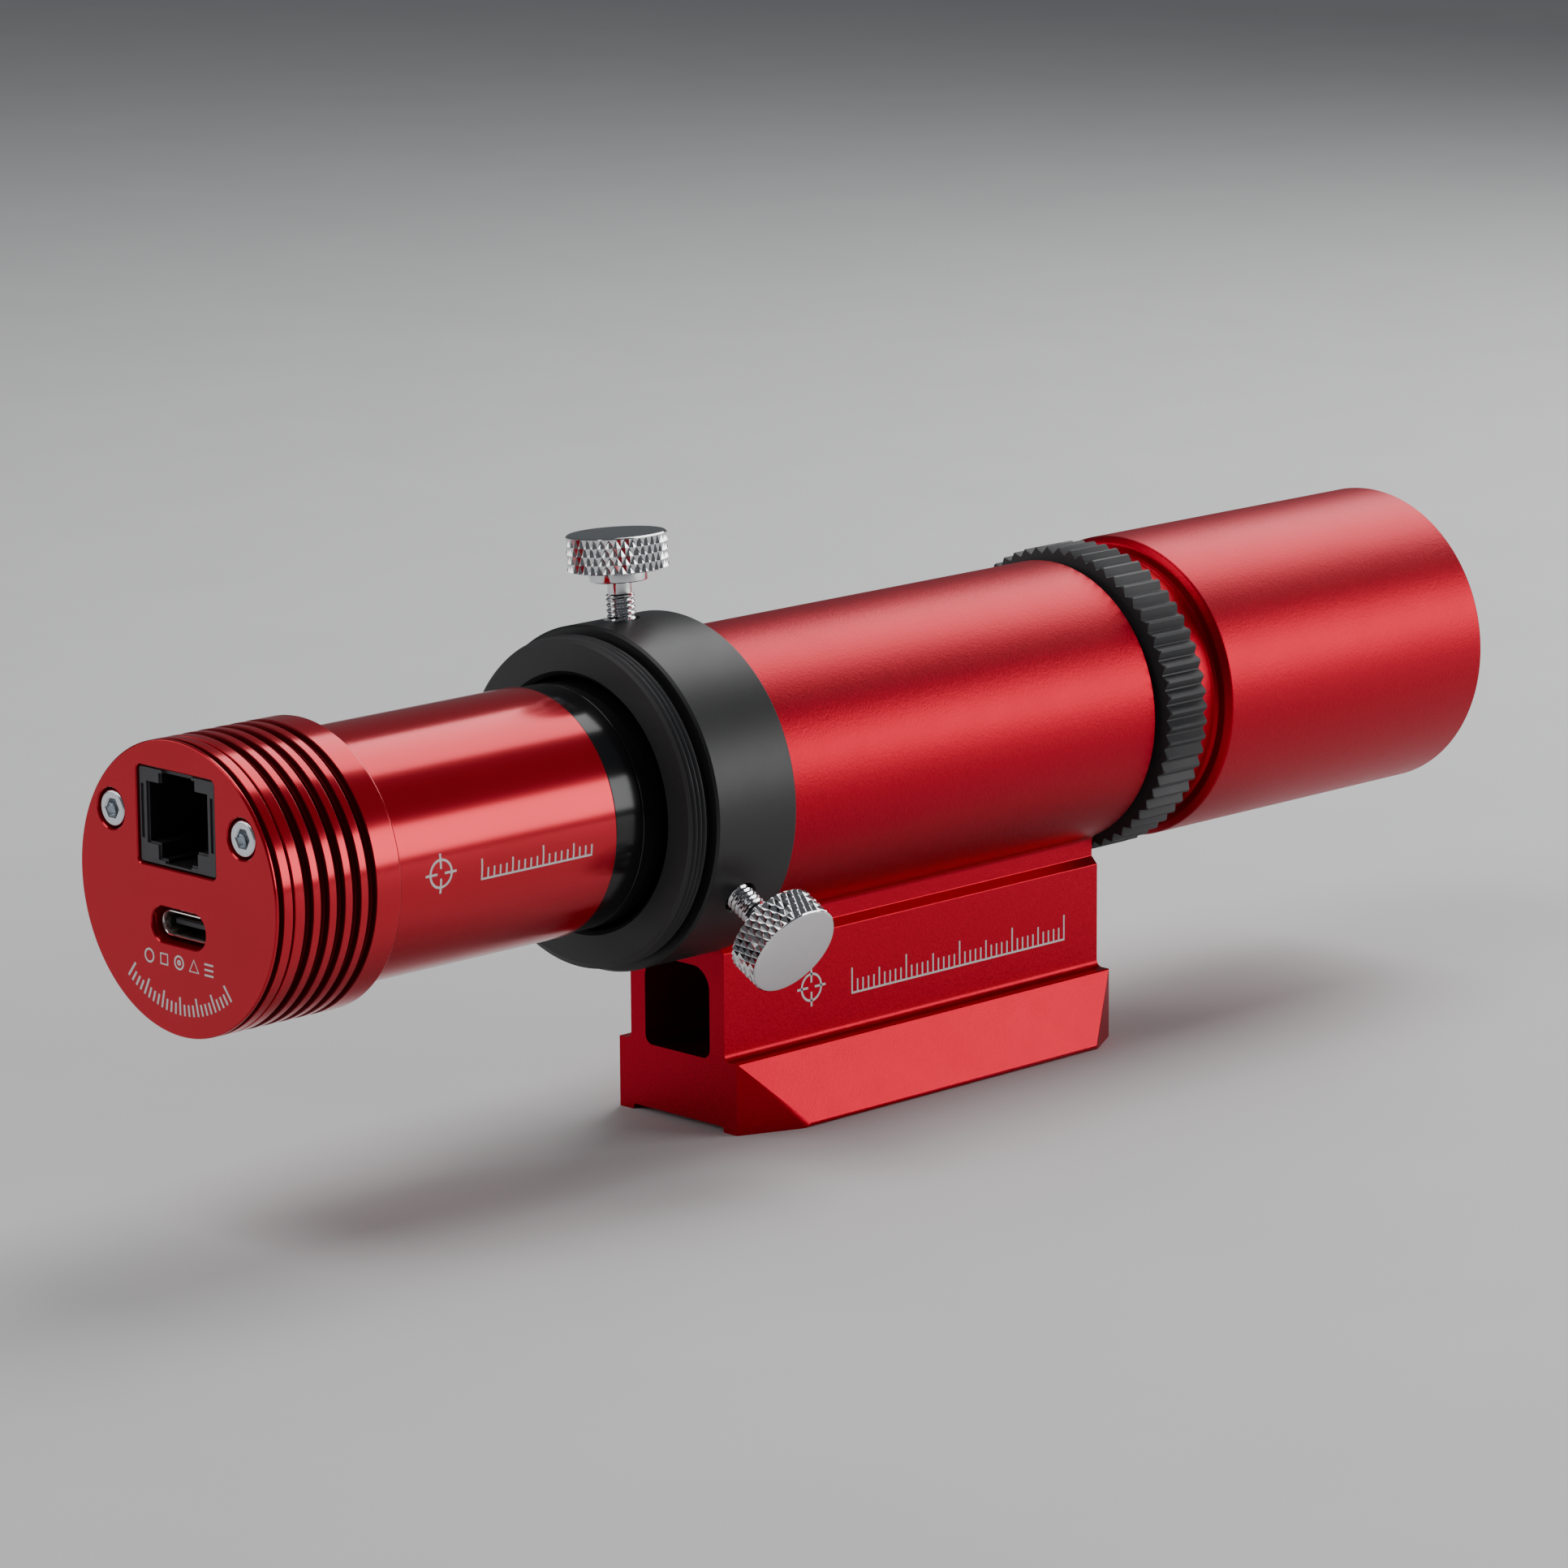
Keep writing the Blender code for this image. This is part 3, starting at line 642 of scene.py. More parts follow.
def build_collar():
    """The black collar with its M42 thread, relief groove and two tapped holes."""
    face, inside_end = span("rear_collar")
    shoulder = span("scope_body")[0] - REST
    spigot = TUBE_BORE - 0.2
    body_radius, crest, relief_radius = outer_radius("rear_collar"), 21.0, 20.2
    groove_low, groove_high = face + 2.6, face + 3.53
    outline = [(face, 20.35), (face + 0.12, 20.5)]
    stations = even_steps(face + 0.3, groove_low - 0.1, THREAD_PITCH / 12)
    outline += [(station, crest) for station in stations]
    outline += [(groove_low, relief_radius), (groove_high, relief_radius)]
    corners = [(groove_high, body_radius - 0.3), (groove_high + 0.3, body_radius, 0.1)]
    corners += [(shoulder, body_radius, 0.15), (shoulder, spigot), (inside_end, spigot)]
    corners += [(inside_end, COLLAR_BORE), (face + 0.6, COLLAR_BORE, 0.05), (face, 16.75, 0.08)]
    outline += rounded(corners)
    thread = thread_relief(face + 0.2, groove_low - 0.05, 0.46, THREAD_PITCH, 0.15)

    def relief(station, radius, angles):
        return thread(station, radius, angles) if radius == crest else radius

    collar = turned(
        "rear_collar_turned", outline, AXIAL, "scope", BLACK, relief, 256, node="rear_collar"
    )
    cutters = []
    for screw in ("thumbscrew_top", "thumbscrew_side"):
        countersink = ((14, 2.1), (body_radius - 0.35, 2.1), (body_radius + 0.4, 2.75))
        steps = [(height, circle(reach, 48)) for height, reach in countersink]
        cutters.append(cutter(f"{screw}_cutter", steps, outward(screw)))
    carve(collar, cutters)

    def deep_in_bore(centre, normal):
        return distance(centre) < COLLAR_BORE + 0.1 and centre.x > face + 8

    paint_where(collar, ROUGH_BLACK, lambda centre, normal: centre.x < face + 2.7)
    paint_where(collar, LIGHT_TRAP_AND_SHADE, deep_in_bore)


def build_thumbscrew(where):
    """A chrome screw: domed mirror face, diamond knurl, boss, bare neck and thread."""
    node = f"thumbscrew_{where}"
    radius, boss, shank, thread_radius = 6.4, 3.75, 1.55, 1.85
    top, boss_top, boss_low, thread_top, end = 32.95, 28.2, 26.8, 25.1, 18.3
    knurl_low, knurl_high, knurl_rows, knurl_depth = boss_top + 0.15, top - 0.32, 4, 0.3
    row = (knurl_high - knurl_low) / knurl_rows
    outline = [(top, 0.0), (top - 0.02, 3.0), (top - 0.06, 4.8)]
    edge = [(top - 0.08, 5.4), (top - 0.1, 6.15, 0.3), (top - 0.3, radius - 0.05)]
    outline += rounded(edge, 5, False)
    first = len(outline)
    outline += [(knurl_high - index * row, radius) for index in range(knurl_rows + 1)]
    outline += rounded([(boss_top + 0.1, 6.2), (boss_top, 6.0, 0.1), (boss_top, boss)], 3, False)
    neck = [(boss_top, boss), (boss_low, boss, 0.2), (boss_low, shank, 0.15), (thread_top + 0.1, shank)]
    outline += rounded(neck, 5, False)
    stations = even_steps(thread_top - 0.1, end + 0.4, SCREW_PITCH / 12)
    outline += [(station, thread_radius) for station in stations]
    outline += [(end, 1.6), (end, 0.0)]
    thread = thread_relief(end, thread_top, 0.26, SCREW_PITCH, 0.25)

    def relief(station, reach, angles):
        if reach == radius:
            level = round((knurl_high - station) / row)
            return radius - knurl_depth * ((np.arange(len(angles)) + level) % 2 == 0)
        if reach == thread_radius:
            return thread(station, reach, angles)
        return reach

    turned(
        f"{node}_knurled", outline, outward(node), f"{where}_screw", CHROME, relief, 76,
        knurled=tuple(range(first, first + knurl_rows)), node=node, smooth_below=radians(24),
    )


def build_lock_ring():
    """The ribbed ring that jams against the dew shield; its ribs are flat-sided with narrow lands."""
    rear, front = span("lock_ring")
    count, crest, root, bore, chamfer = 62, 20.55, 19.75, 17.05, 0.18
    ribs, hole, inset = [], [], []
    for index in range(count):
        for phase, radius in ((0.0, root), (0.1, root), (0.45, crest), (0.62, crest)):
            angle = 2 * pi * (index + phase) / count
            ribs.append(polar(radius, angle))
            inset.append(polar(min(radius, crest - chamfer), angle))
            hole.append(polar(bore, angle))
    sections = [(rear, hole), (rear, inset), (rear + chamfer, ribs)]
    sections += [(front - chamfer, ribs), (front, inset), (front, hole)]
    links = {"ring": True, "node": "lock_ring"}
    lofted("lock_ring_ribbed", sections, AXIAL, "lock_ring", ROUGH_BLACK, **links)


def build_dew_shield():
    rear, front = span("dew_shield")
    radius, inside, neck_bore = outer_radius("dew_shield"), 19.0, 17.05
    shoulder = rear + 4.1
    step = rear + 9.0
    corners = [(rear, neck_bore), (rear, 18.6, 0.2), (rear + 1.2, 18.3, 1.5)]
    corners += [(shoulder - 0.5, 18.3, 0.6), (shoulder, 18.6, 0.1)]
    corners += [(shoulder + 0.1, radius - 0.9, 0.7), (shoulder + 0.75, radius, 0.6)]
    corners += [(front, radius, 0.3), (front, inside + 0.5, 0.1), (front - 0.6, inside, 0.1)]
    corners += [(step, inside), (step, neck_bore)]
    outline = rounded(corners)
    name = "dew_shield_turned"
    shield = turned(name, outline, AXIAL, "focus_front", BLASTED_RED, node="dew_shield")
    blacken_inside(shield, inside)


def lens_face(edge_station, sag, radius):
    """Points of a lens face from rim to pole; a positive sag bulges towards the sky."""
    steps = 12
    sphere = (radius**2 + sag**2) / (2 * abs(sag))
    side = 1 if sag > 0 else -1
    points = []
    for step in range(steps + 1):
        reach = radius * (1 - step / steps)
        rise = sqrt(sphere**2 - reach**2) - sqrt(sphere**2 - radius**2)
        points.append((edge_station + side * rise, reach))
    return points


def build_objective():
    """The cell, its two coated lenses and the slotted ring that holds them."""
    low, high = span("objective_cell")
    outer, bore, ledge, seat_low = 18.7, 17.2, 16.0, low + 1.7
    corners = [(low, ledge), (low, outer, 0.3), (high, outer, 0.4)]
    corners += [(high, bore, 0.15), (seat_low, bore), (seat_low, ledge)]
    cell = rounded(corners)
    turned("objective_cell_turned", cell, AXIAL, "focus_front", BLACK, node="objective_cell")
    flint_low, flint_high = span("flint_lens")
    crown_low, crown_high = span("crown_lens")
    radius = outer_radius("crown_lens")
    back_sag, joint_sag, front_sag = -0.7, -1.6, 1.9
    back = lens_face(flint_low - back_sag, back_sag, radius)
    joint = lens_face(flint_high, joint_sag, radius)
    front = lens_face(crown_high - front_sag, front_sag, radius)
    seat = lens_face(crown_low - joint_sag, joint_sag, radius)
    lenses = (("flint_lens", joint[::-1] + back), ("crown_lens", front[::-1] + seat))
    for node, outline in lenses:
        turned(f"{node}_ground", outline, AXIAL, "lens_group", LENS_GLASS, node=node)
    low, high = span("lens_retaining_ring")
    corners = [(low, 15.9, 0.1), (low, 17.1), (high, 17.1, 0.1), (high, 16.3), (high - 0.7, 15.9)]
    ring = turned(
        "retaining_ring_slotted", rounded(corners), AXIAL, "focus_front", BLACK,
        node="lens_retaining_ring",
    )
    cutters = []
    for side in (1, -1):
        notch = rounded_box(2.4, 1.1, 0.2, (side * 16.6, 0))
        sections = [(high - 0.9, notch), (high + 1, notch)]
        cutters.append(cutter(f"slot_cutter_{side}", sections, AXIAL))
    carve(ring, cutters)


def build_baffle():
    low, high = span("tube_baffle")
    outer, wall, stop = 17.2, 16.4, 10.0
    corners = [(low, outer), (high, outer, 0.1), (high, stop)]
    corners += [(high - 0.5, stop), (high - 1.0, wall), (low, wall)]
    turned("tube_baffle_turned", rounded(corners), AXIAL, "scope", LIGHT_TRAP_AND_SHADE, node="tube_baffle")


# The camera, with stations from its rear face


def camera_span(node):
    low, high = span(node)
    return low - CAMERA_REAR, high - CAMERA_REAR


def from_axis(node):
    """Where a node's middle stands across the optical axis, as (across, up)."""
    centre = middle(node)
    return centre.y, centre.z - AXIS_Z


def build_camera_housing():
    rear, front = camera_span("camera_housing")
    head, pocket, floor = outer_radius("camera_housing"), 16.5, 17.2
    grooves, groove_low, groove_width, groove_pitch, groove_depth = 5, 4.47, 1.25, 2.457, 0.9
    shoulder = 19.67
    corners = [(rear, pocket), (rear, head, 0.12)]
    root = head - groove_depth
    for index in range(grooves):
        low = groove_low + index * groove_pitch
        high = low + groove_width
        corners += [(low, head, 0.14), (low, root, 0.12), (high, root, 0.12), (high, head, 0.14)]
    corners += [(shoulder, head, 0.45), (shoulder, BARREL_RADIUS, 0.1), (front, BARREL_RADIUS, 0.15)]
    corners += [(front, BARREL_BORE), (floor, BARREL_BORE), (floor, pocket)]
    outline = rounded(corners)
    housing = turned(
        "camera_housing_turned", outline, CAMERA, "camera", SATIN_RED, node="camera_housing"
    )

    def shaded_groove(centre, normal):
        along = groove_low - 0.1 < centre.x - CAMERA_REAR < shoulder - 1
        return along and pocket + 0.1 < distance(centre) < head - 0.02

    # Painted shade: the fins' grooves take the darker red to stand in for their shadow.
    paint_where(housing, PAINTED_GROOVE_SHADE, shaded_groove)


def build_back_plate():
    """The rear disc with its chamfered openings and sunk screw seats."""
    radius, groove, spigot = outer_radius("back_plate"), 17.1, 16.3
    lip, groove_end, rim, through = 0.45, 1.27, 2.61, 5.0
    corners = [(4.1, 0), (4.1, spigot), (rim, spigot), (rim, radius, 0.08)]
    corners += [(groove_end, radius, 0.1), (groove_end, groove, 0.1), (lip, groove, 0.1)]
    corners += [(lip, radius, 0.08), (0, radius, 0.34), (0, 0)]
    plate = turned(
        "back_plate_turned", rounded(corners, closed=False), CAMERA, "camera", SATIN_RED,
        node="back_plate",
    )
    chamfer = 0.14
    rims = ((-1.0, chamfer + 1.0), (0.0, chamfer), (chamfer, 0.0), (through, 0.0))
    openings = (
        ("jack", from_axis("guide_port_jack"), 14.35, 12.0, 0.7, 6),
        ("usb", from_axis("usb_c_shell"), 9.95, 4.4, 2.19, 10),
    )
    cutters = []
    for name, centre, width, height, corner, steps in openings:
        sections = []
        for z, grow in rims:
            size = (width + 2 * grow, height + 2 * grow, corner + grow)
            sections.append((z, rounded_box(*size, centre, steps)))
        cutters.append(cutter(f"{name}_cutter", sections, CAMERA))
    seat, hole, seat_floor = 2.55, 1.35, 2.8
    levels = [(z, seat + grow) for z, grow in rims[:3]]
    levels += [(seat_floor, seat), (seat_floor, hole), (through, hole)]
    for side in ("left", "right"):
        centre = from_axis(f"back_screw_{side}")
        sections = [(z, circle(reach, 48, centre)) for z, reach in levels]
        cutters.append(cutter(f"seat_cutter_{side}", sections, CAMERA))
    carve(plate, cutters)

    def shaded_groove(centre, normal):
        along = lip < centre.x - CAMERA_REAR < 1.3
        return along and groove - 0.1 < distance(centre) < radius - 0.05

    # Painted shade: the groove behind the lip takes the darker red to stand in for its shadow.
    paint_where(plate, PAINTED_GROOVE_SHADE, shaded_groove)


def build_back_screw(side):
    """A socket-cap screw with a hexagonal socket and a machined cap."""
    node = f"back_screw_{side}"
    place = CAMERA @ Matrix.Translation((*from_axis(node), 0))
    face, under, end, cap, shank = 0.15, 2.6, 10.0, 2.25, 1.25
    corners = [(face, 0), (face, cap, 0.35), (under, cap, 0.1)]
    corners += [(under, shank, 0.1), (end, shank, 0.3), (end, 0)]
    outline = rounded(corners, 5, False)
    screw = turned(f"{node}_capped", outline, place, "camera", ZINC, steps=96, node=node)
    levels = ((-1.0, 2.3), (face, 1.38), (0.32, 1.2), (1.7, 1.2), (2.0, 0.4))
    hexagon = [(z, circle(reach, 6)) for z, reach in levels]
    carve(screw, [cutter(f"socket_cutter_{side}", hexagon, place)])


def build_jack():
    """The guide-port jack: a moulded frame whose mouth steps in for the plug's latch."""
    low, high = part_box("guide_port_jack")
    width, height = (high.y - low.y) / MM, (high.z - low.z) / MM
    middle_z = from_axis("guide_port_jack")[1]
    front, back = camera_span("guide_port_jack")
    shell = rounded_box(width, height, 0.35, (0, middle_z), 4)
    smaller = rounded_box(width - 0.2, height - 0.2, 0.25, (0, middle_z), 4)
    jack = lofted(
        "jack_moulding", [(front, smaller), (front + 0.1, shell), (back, shell)], CAMERA, "camera",
        BLACK_PLASTIC, node="guide_port_jack",
    )

    def plunge(name, outline, depth):
        return cutter(name, [(-1, outline), (depth, outline)], CAMERA)

    cutters = []
    for depth, grow in ((12.0, 0.0), (front + 0.35, 0.2)):
        half = [(3.1 + grow, 13.55), (3.1 + grow, 12.3), (5.4 + grow, 12.3)]
        half += [(5.4 + grow, 5.0 - grow), (3.4 + grow, 5.0 - grow), (3.4 + grow, 3.2 - grow)]
        half += [(2.2 + grow, 3.2 - grow), (2.2 + grow, 2.7)]
        mouth = half + [(-x, y) for x, y in reversed(half)]
        cutters.append(plunge(f"mouth_cutter_{len(cutters)}", mouth, depth))
    for side in (1, -1):
        rail = rounded_box(0.5, 6.6, 0.1, (side * 6.35, 8.6))
        cutters.append(plunge(f"rail_cutter_{side}", rail, front + 0.3))
    notch = rounded_box(5.4, 1.2, 0.1, (0, 13.9))
    cutters.append(plunge("notch_cutter", notch, front + 0.6))
    carve(jack, cutters)
    break_edges(jack, 0.07)

    def shaded_mouth_wall(centre, normal):
        return centre.x - CAMERA_REAR > front + 1 and abs(normal.x) < 0.5

    # Painted shade: the mouth's inner walls take the flat black to stand in for the shadow inside it.
    paint_where(jack, LIGHT_TRAP_AND_SHADE, shaded_mouth_wall)


def build_contacts():
    """Six sprung wires on a moulded bar: each leaves the bar, bends down and runs into the mouth."""
    count, pitch, radius = 6, 1.02, 0.22
    curve = bpy.data.curves.new("contact_path", "CURVE")
    curve.dimensions = "3D"
    curve.bevel_depth = radius * MM
    curve.bevel_resolution = 2
    curve.use_fill_caps = True
    path = [(11.4, 11.85), (7.0, 11.8), (5.7, 11.55), (5.3, 11.1), (5.8, 10.75), (8.4, 10.6)]
    for index in range(count):
        across = (index - (count - 1) / 2) * pitch
        spline = curve.splines.new("POLY")
        spline.points.add(len(path) - 1)
        for point, (station, height) in zip(spline.points, path):
            place = CAMERA @ Vector((across, height, station))
            point.co = (*(place * MM), 1)
    guide = new_object("contact_guide", curve)
    evaluated = guide.evaluated_get(bpy.context.evaluated_depsgraph_get())
    mesh = bpy.data.meshes.new_from_object(evaluated)
    bpy.data.objects.remove(guide, do_unlink=True)
    wires = new_object("jack_contact_wires", mesh)
    mesh.materials.append(GOLD)
    mesh.shade_smooth()
    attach(wires, "camera")
    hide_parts("jack_contact_comb")
    bar = rounded_box(6.8, 0.9, 0.15, (0, 11.8))
    lofted("jack_contact_bar", [(10.6, bar), (11.7, bar)], CAMERA, "camera", BLACK_PLASTIC)


def build_usb():
    """The USB-C shell with its rolled lip, and the tongue with its contact pads."""
    middle_z = from_axis("usb_c_shell")[1]
    low, high = camera_span("usb_c_shell")
    wall = 0.3
    levels = [(low + 0.1, 0), (high, 0), (high, wall), (low + 0.25, wall)]
    levels += [(low + 0.05, wall - 0.09), (low, wall / 2), (low + 0.03, 0.05)]
    sections = []
    for station, inset in levels:
        outline = rounded_box(8.94 - 2 * inset, 3.16 - 2 * inset, 1.57 - inset, (0, middle_z), 10)
        sections.append((station, outline))
    lofted("usb_c_shell_drawn", sections, CAMERA, "camera", STEEL, ring=True, node="usb_c_shell")
    tip, root = camera_span("usb_c_tongue")
    step, blade, base = 9.0, 6.6, 7.8
    levels = [(tip, 6.3, 0.5), (tip + 0.15, blade, 0.68), (step, blade, 0.7)]
    levels += [(step, base, 0.75), (root, base, 0.75)]
    sections = [(z, rounded_box(w, h, 0.12, (0, middle_z), 3)) for z, w, h in levels]
    lofted("usb_c_tongue_moulded", sections, CAMERA, "camera", BLACK_PLASTIC, node="usb_c_tongue")
    count, pitch, half, half_blade = 12, 0.5, 0.13, 0.345

    def upper(u, v, height):
        return (u, middle_z + half_blade + height, v)

    def lower(u, v, height):
        return (u, middle_z - half_blade - height, v)

    pads = Gatherer()
    for index in range(count):
        across = (index - (count - 1) / 2) * pitch
        for surface in (upper, lower):
            pads.bar((across - half, tip + 0.5), (across + half, tip + 4.5), surface)
    pads.piece("usb_c_pads", CAMERA, "camera", GOLD)


class Gatherer:
    """Collects many thin printed or plated shapes into one piece."""

    def __init__(self):
        self.points = []
        self.faces = []

    def ribbon(self, left, right, surface, closed=False):
        """A thin solid band between two lines of (u, v) points laid on surface(u, v, height)."""
        start, count = len(self.points), len(left)
        for level in (-PRINT_SUNK, PRINT_HEIGHT):
            for line in (left, right):
                self.points += [surface(u, v, level) for u, v in line]
        low_left, low_right, top_left, top_right = (start + count * part for part in range(4))
        sides = ((top_left, top_right), (low_right, low_left))
        sides += ((low_left, top_left), (top_right, low_right))
        for index in range(count if closed else count - 1):
            beside = (index + 1) % count
            for one, other in sides:
                self.faces.append((one + index, one + beside, other + beside, other + index))
        if not closed:
            for index in (0, count - 1):
                corners = (low_left, low_right, top_right, top_left)
                self.faces.append(tuple(corner + index for corner in corners))

    def bar(self, low, high, surface):
        """A rectangle from low to high, divided along v so that it can follow a curve."""
        steps = 4
        heights = [low[1] + (high[1] - low[1]) * step / steps for step in range(steps + 1)]
        self.ribbon([(low[0], v) for v in heights], [(high[0], v) for v in heights], surface)

    def ring(self, centre, radius, width, surface, start=0.0, steps=40):
        inner = circle(radius - width / 2, steps, centre, start)
        outer = circle(radius + width / 2, steps, centre, start)
        self.ribbon(inner, outer, surface, closed=True)

    def reticle(self, centre, radius, width, surface):
        """A ring with a broken cross, as an eyepiece shows."""
        self.ring(centre, radius, width, surface)
        near, far, half = 0.35 * radius, 1.45 * radius, width / 2
        for dx, dy in ((1, 0), (0, 1), (-1, 0), (0, -1)):
            across = sorted((dx * near - abs(dy) * half, dx * far + abs(dy) * half))
            up = sorted((dy * near - abs(dx) * half, dy * far + abs(dx) * half))
            low, high = ((centre[0] + x, centre[1] + y) for x, y in zip(across, up))
            self.bar(low, high, surface)

    def rule(self, start, base, count, gap, longest, surface):
        """Ticks on a line from start, longer at every fifth and tenth."""
        half = 0.12
        for index in range(count + 1):
            length = longest * (1 if index % 10 == 0 else 0.75 if index % 5 == 0 else 0.5)
            centre = start + index * gap
            self.bar((centre - half, base), (centre + half, base + length), surface)
        end = start + count * gap
        self.bar((start - half, base - 0.28), (end + half, base - 0.02), surface)

    def piece(self, name, place, body, material):
        new_piece(name, self.points, self.faces, place, body, material)


def build_barrel_marks():
    """A plain reticle and a scale along the barrel, where its side faces right."""

    def surface(u, v, height):
        angle = pi / 2 - v / BARREL_RADIUS
        reach = BARREL_RADIUS + height
        return (-reach * sin(angle), reach * cos(angle), u)

    marks = Gatherer()
    marks.reticle((27.6, -0.2), 1.7, 0.3, surface)
    marks.rule(34.2, -1.85, 18, 1.0, 2.4, surface)
    marks.piece("barrel_marks", CAMERA, "camera", INK)


def build_back_marks():
    """A graduated arc low on the back plate and a row of plain signs above it."""

    def surface(u, v, height):
        return (u, v, -height)

    marks = Gatherer()
    half_arc, spacing, half_width, far = 12, 3.2, 0.15, 15.3
    for index in range(-half_arc, half_arc + 1):
        angle = radians(-90 + index * spacing)
        near = 13.1 if index % 4 == 0 else 13.9
        x, y = cos(angle), sin(angle)
        edges = []
        for aside in (-half_width, half_width):
            edges.append([(x * reach - y * aside, y * reach + x * aside) for reach in (near, far)])
        marks.ribbon(*edges, surface)
    row, size, width, gap = -8.9, 0.78, 0.24, 2.75
    marks.ring((2 * gap, row), size, width, surface)
    marks.ring((gap, row), size * 1.15, width, surface, pi / 4, 4)
    marks.ring((0, row), size, width, surface)
    marks.ring((0, row), size * 0.3, width, surface, steps=16)
    marks.ring((-gap, row - 0.2), size * 1.25, width, surface, pi / 2, 3)
    for index in range(3):
        low = row - size + index * 0.66
        marks.bar((-2 * gap - 0.8, low), (-2 * gap + 0.8, low + width), surface)
    marks.piece("back_plate_marks", CAMERA, "camera", INK)


def build_foot_marks(rear, front):
    """A reticle and a graduated rule on each flank of the foot."""
    row = AXIS_Z - 28.3

    def right_flank(u, v, height):
        return (u, -FOOT_WAIST - height, v)

    def left_flank(u, v, height):
        return (rear + front - u, FOOT_WAIST + height, v)

    for name, surface in (("right", right_flank), ("left", left_flank)):
        marks = Gatherer()
        marks.reticle((rear + 15.6, row + 0.2), 1.75, 0.3, surface)
        marks.rule(rear + 23.0, row - 1.75, 40, 1.0, 3.2, surface)
        marks.piece(f"foot_marks_{name}", Matrix.Identity(4), "scope", INK)


def build_nose():
    """The gloss ring at the barrel's front and the tube that runs on into the collar."""
    rear, front = camera_span("nose_ring")
    radius = outer_radius("nose_ring")
    join = camera_span("camera_housing")[1] + REST
    window, spigot, mouth, seat = 10.5, 14.05, 14.0, 12.8
    corners = [(rear, window), (rear, spigot, 0.1), (join, spigot), (join, radius, 0.12)]
    corners += [(front, radius, 0.15), (front, mouth), (rear + 3.8, mouth), (rear + 3.8, seat)]
    corners += [(rear + 0.8, seat), (rear + 0.8, window)]
    ring = rounded(corners)
    turned("nose_ring_turned", ring, CAMERA, "camera", GLOSS_BLACK, node="nose_ring")
    low, high = span("nosepiece_tube")
    shoulder = low + 3.22
    spigot, small_bore, bore = 13.8, 12.0, 14.2
    corners = [(low, small_bore), (low, spigot, 0.1), (shoulder, spigot)]
    corners += [(shoulder, radius, 0.15), (high, radius, 0.4), (high, bore + 0.3, 0.1)]
    corners += [(high - 0.4, bore), (shoulder + 2.08, bore), (shoulder + 1.28, small_bore)]
    outline = rounded(corners)
    tube = turned(
        "nosepiece_tube_turned", outline, AXIAL, "nosepiece", GLOSS_BLACK, node="nosepiece_tube"
    )
    paint_where(tube, LIGHT_TRAP_AND_SHADE, lambda centre, normal: distance(centre) < bore + 0.1)


def dress_hidden_nodes():
    """Finishes for the CAD nodes that are shown as they are."""
    finishes = {
        "thumbscrew_top_tip": NYLON,
        "thumbscrew_side_tip": NYLON,
        "lens_spacer": BLACK,
        "protective_window": WINDOW_GLASS,
        "window_gasket": RUBBER,
        "image_sensor": SILICON,
        "sensor_board": BOARD,
        "interface_board": BOARD,
        "standoff_left": BRASS,
        "standoff_right": BRASS,
        "board_cable": FILM,
    }
    for node, material in finishes.items():
        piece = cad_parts[node]
        piece.data.materials.clear()
        piece.data.materials.append(material)


# Stage


def build_floor():
    """A broad pale floor with a faint mottle."""
    points = [(-9000, -9000, 0), (9000, -9000, 0), (9000, 9000, 0), (-9000, 9000, 0)]
    pale = Graph("pale_floor", (0.6, 0.6, 0.6), 0.6)
    pale.colour(pale.noise(40.0, 3), (0.7, 0.7, 0.705), (0.76, 0.76, 0.76))
    pale.roughness(pale.between(pale.noise(15.0, 2), 0.55, 0.7))
    place = Matrix.Translation((0, 0, FOOT_BOTTOM))
    floor = new_piece("floor", points, [(0, 1, 2, 3)], place, None, pale.material)
    floor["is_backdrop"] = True


def add_softbox(name, direction, distance_m, width, height, power, target):
    light = bpy.data.lights.new(name, "AREA")
    light.shape = "RECTANGLE"
    light.size = width
    light.size_y = height
    light.energy = power
    lamp = new_object(name, light)
    lamp.location = target + Vector(direction).normalized() * distance_m
    lamp.rotation_mode = "QUATERNION"
    lamp.rotation_quaternion = (target - lamp.location).to_track_quat("-Z", "Y")


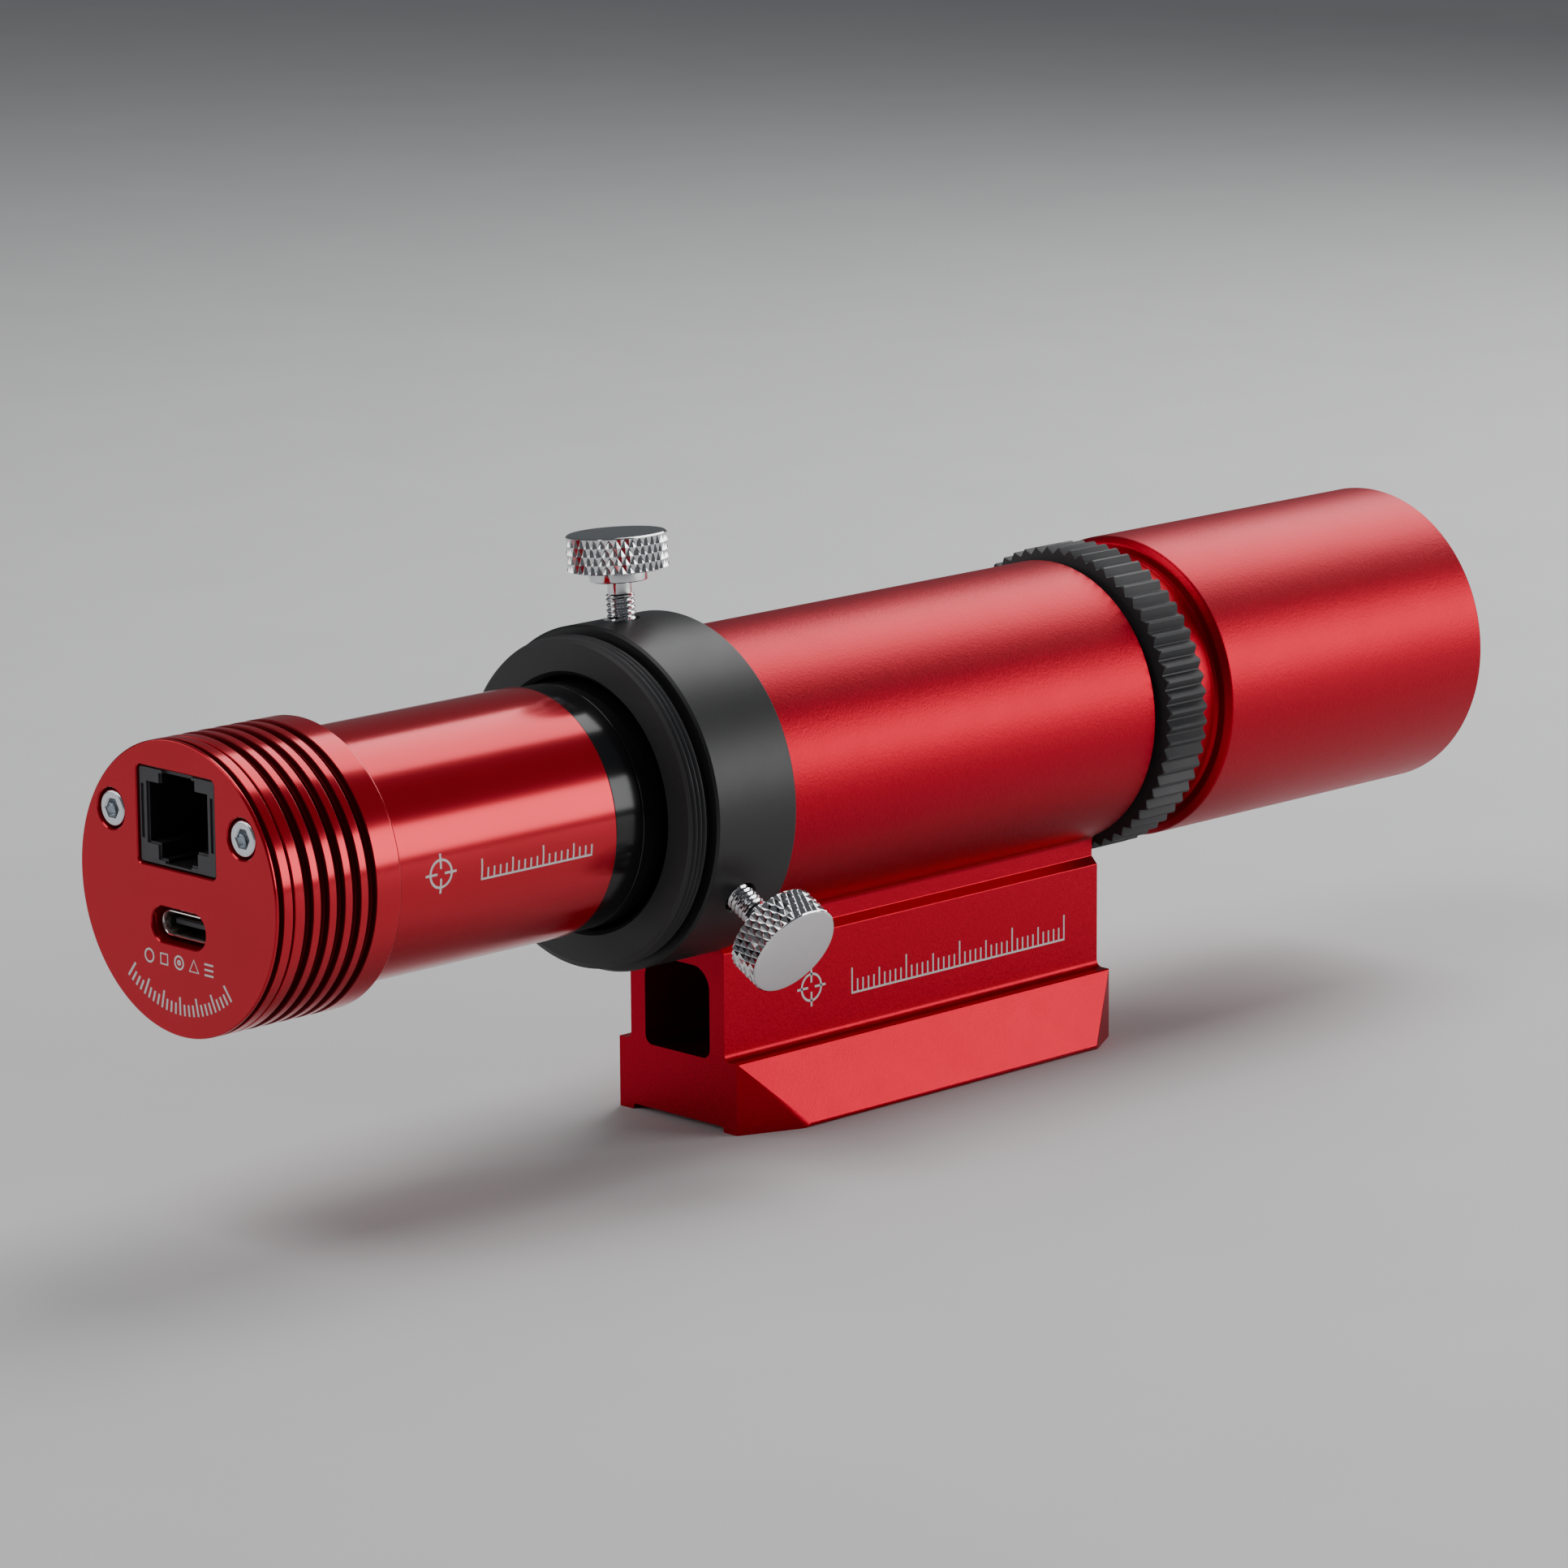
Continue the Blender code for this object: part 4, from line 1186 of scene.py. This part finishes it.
def build_lights():
    """A softbox overhead, one low on the right and two weak ones from behind, in a dim pale room."""
    target = Vector((0, 0, 0.03))
    overhead = target + Vector((-0.1, 0, 0))
    add_softbox("overhead_softbox", (0.685, 0.15, 0.71), 0.9, 0.5, 0.9, 5.5, overhead)
    add_softbox("side_softbox", (0.685, -0.71, 0.25), 0.9, 0.7, 0.36, 3.9, target)
    add_softbox("rear_edge_light", (-0.52, 0.1, 0.85), 0.9, 0.5, 0.4, 2.1, target)
    add_softbox("rear_fill", (-0.7, 0.6, 0.32), 1.0, 0.6, 0.45, 1.8, target)
    world = bpy.data.worlds.new("studio")
    bpy.context.scene.world = world
    world.use_nodes = True
    background = world.node_tree.nodes["Background"]
    background.inputs["Color"].default_value = (0.9, 0.95, 1.0, 1)
    background.inputs["Strength"].default_value = 0.12


def build_camera_view():
    """A long lens low on the rear right, looking along the scope."""
    azimuth, elevation, roll = radians(-44.586), radians(12.461), radians(-0.4)
    target = Vector((-11.4, 4.0, 39.0)) * MM
    reach = 0.86
    back = Vector((sin(azimuth) * cos(elevation), -cos(azimuth) * cos(elevation), sin(elevation)))
    data = bpy.data.cameras.new("view")
    data.lens = 152.5
    data.sensor_width = 36.0
    data.clip_start = 0.01
    data.clip_end = 50.0
    viewer = new_object("view", data)
    viewer.location = target + back * reach
    aim = (-back).to_track_quat("-Z", "Y").to_matrix() @ Matrix.Rotation(roll, 3, "Z")
    viewer.rotation_euler = aim.to_euler()
    bpy.context.scene.camera = viewer


tube_rear, tube_front = build_scope_tube()
build_foot(tube_rear, tube_front)
build_collar()
build_thumbscrew("top")
build_thumbscrew("side")
build_lock_ring()
build_dew_shield()
build_objective()
build_baffle()
build_camera_housing()
build_back_plate()
build_back_screw("left")
build_back_screw("right")
build_jack()
build_contacts()
build_usb()
build_nose()
build_barrel_marks()
build_back_marks()
build_foot_marks(tube_rear, tube_front)
dress_hidden_nodes()
build_floor()
build_lights()
build_camera_view()

boxes = {"cad": CAD_BOX, "visual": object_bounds()}
boxes = {name: [list(corner) for corner in box] for name, box in boxes.items()}
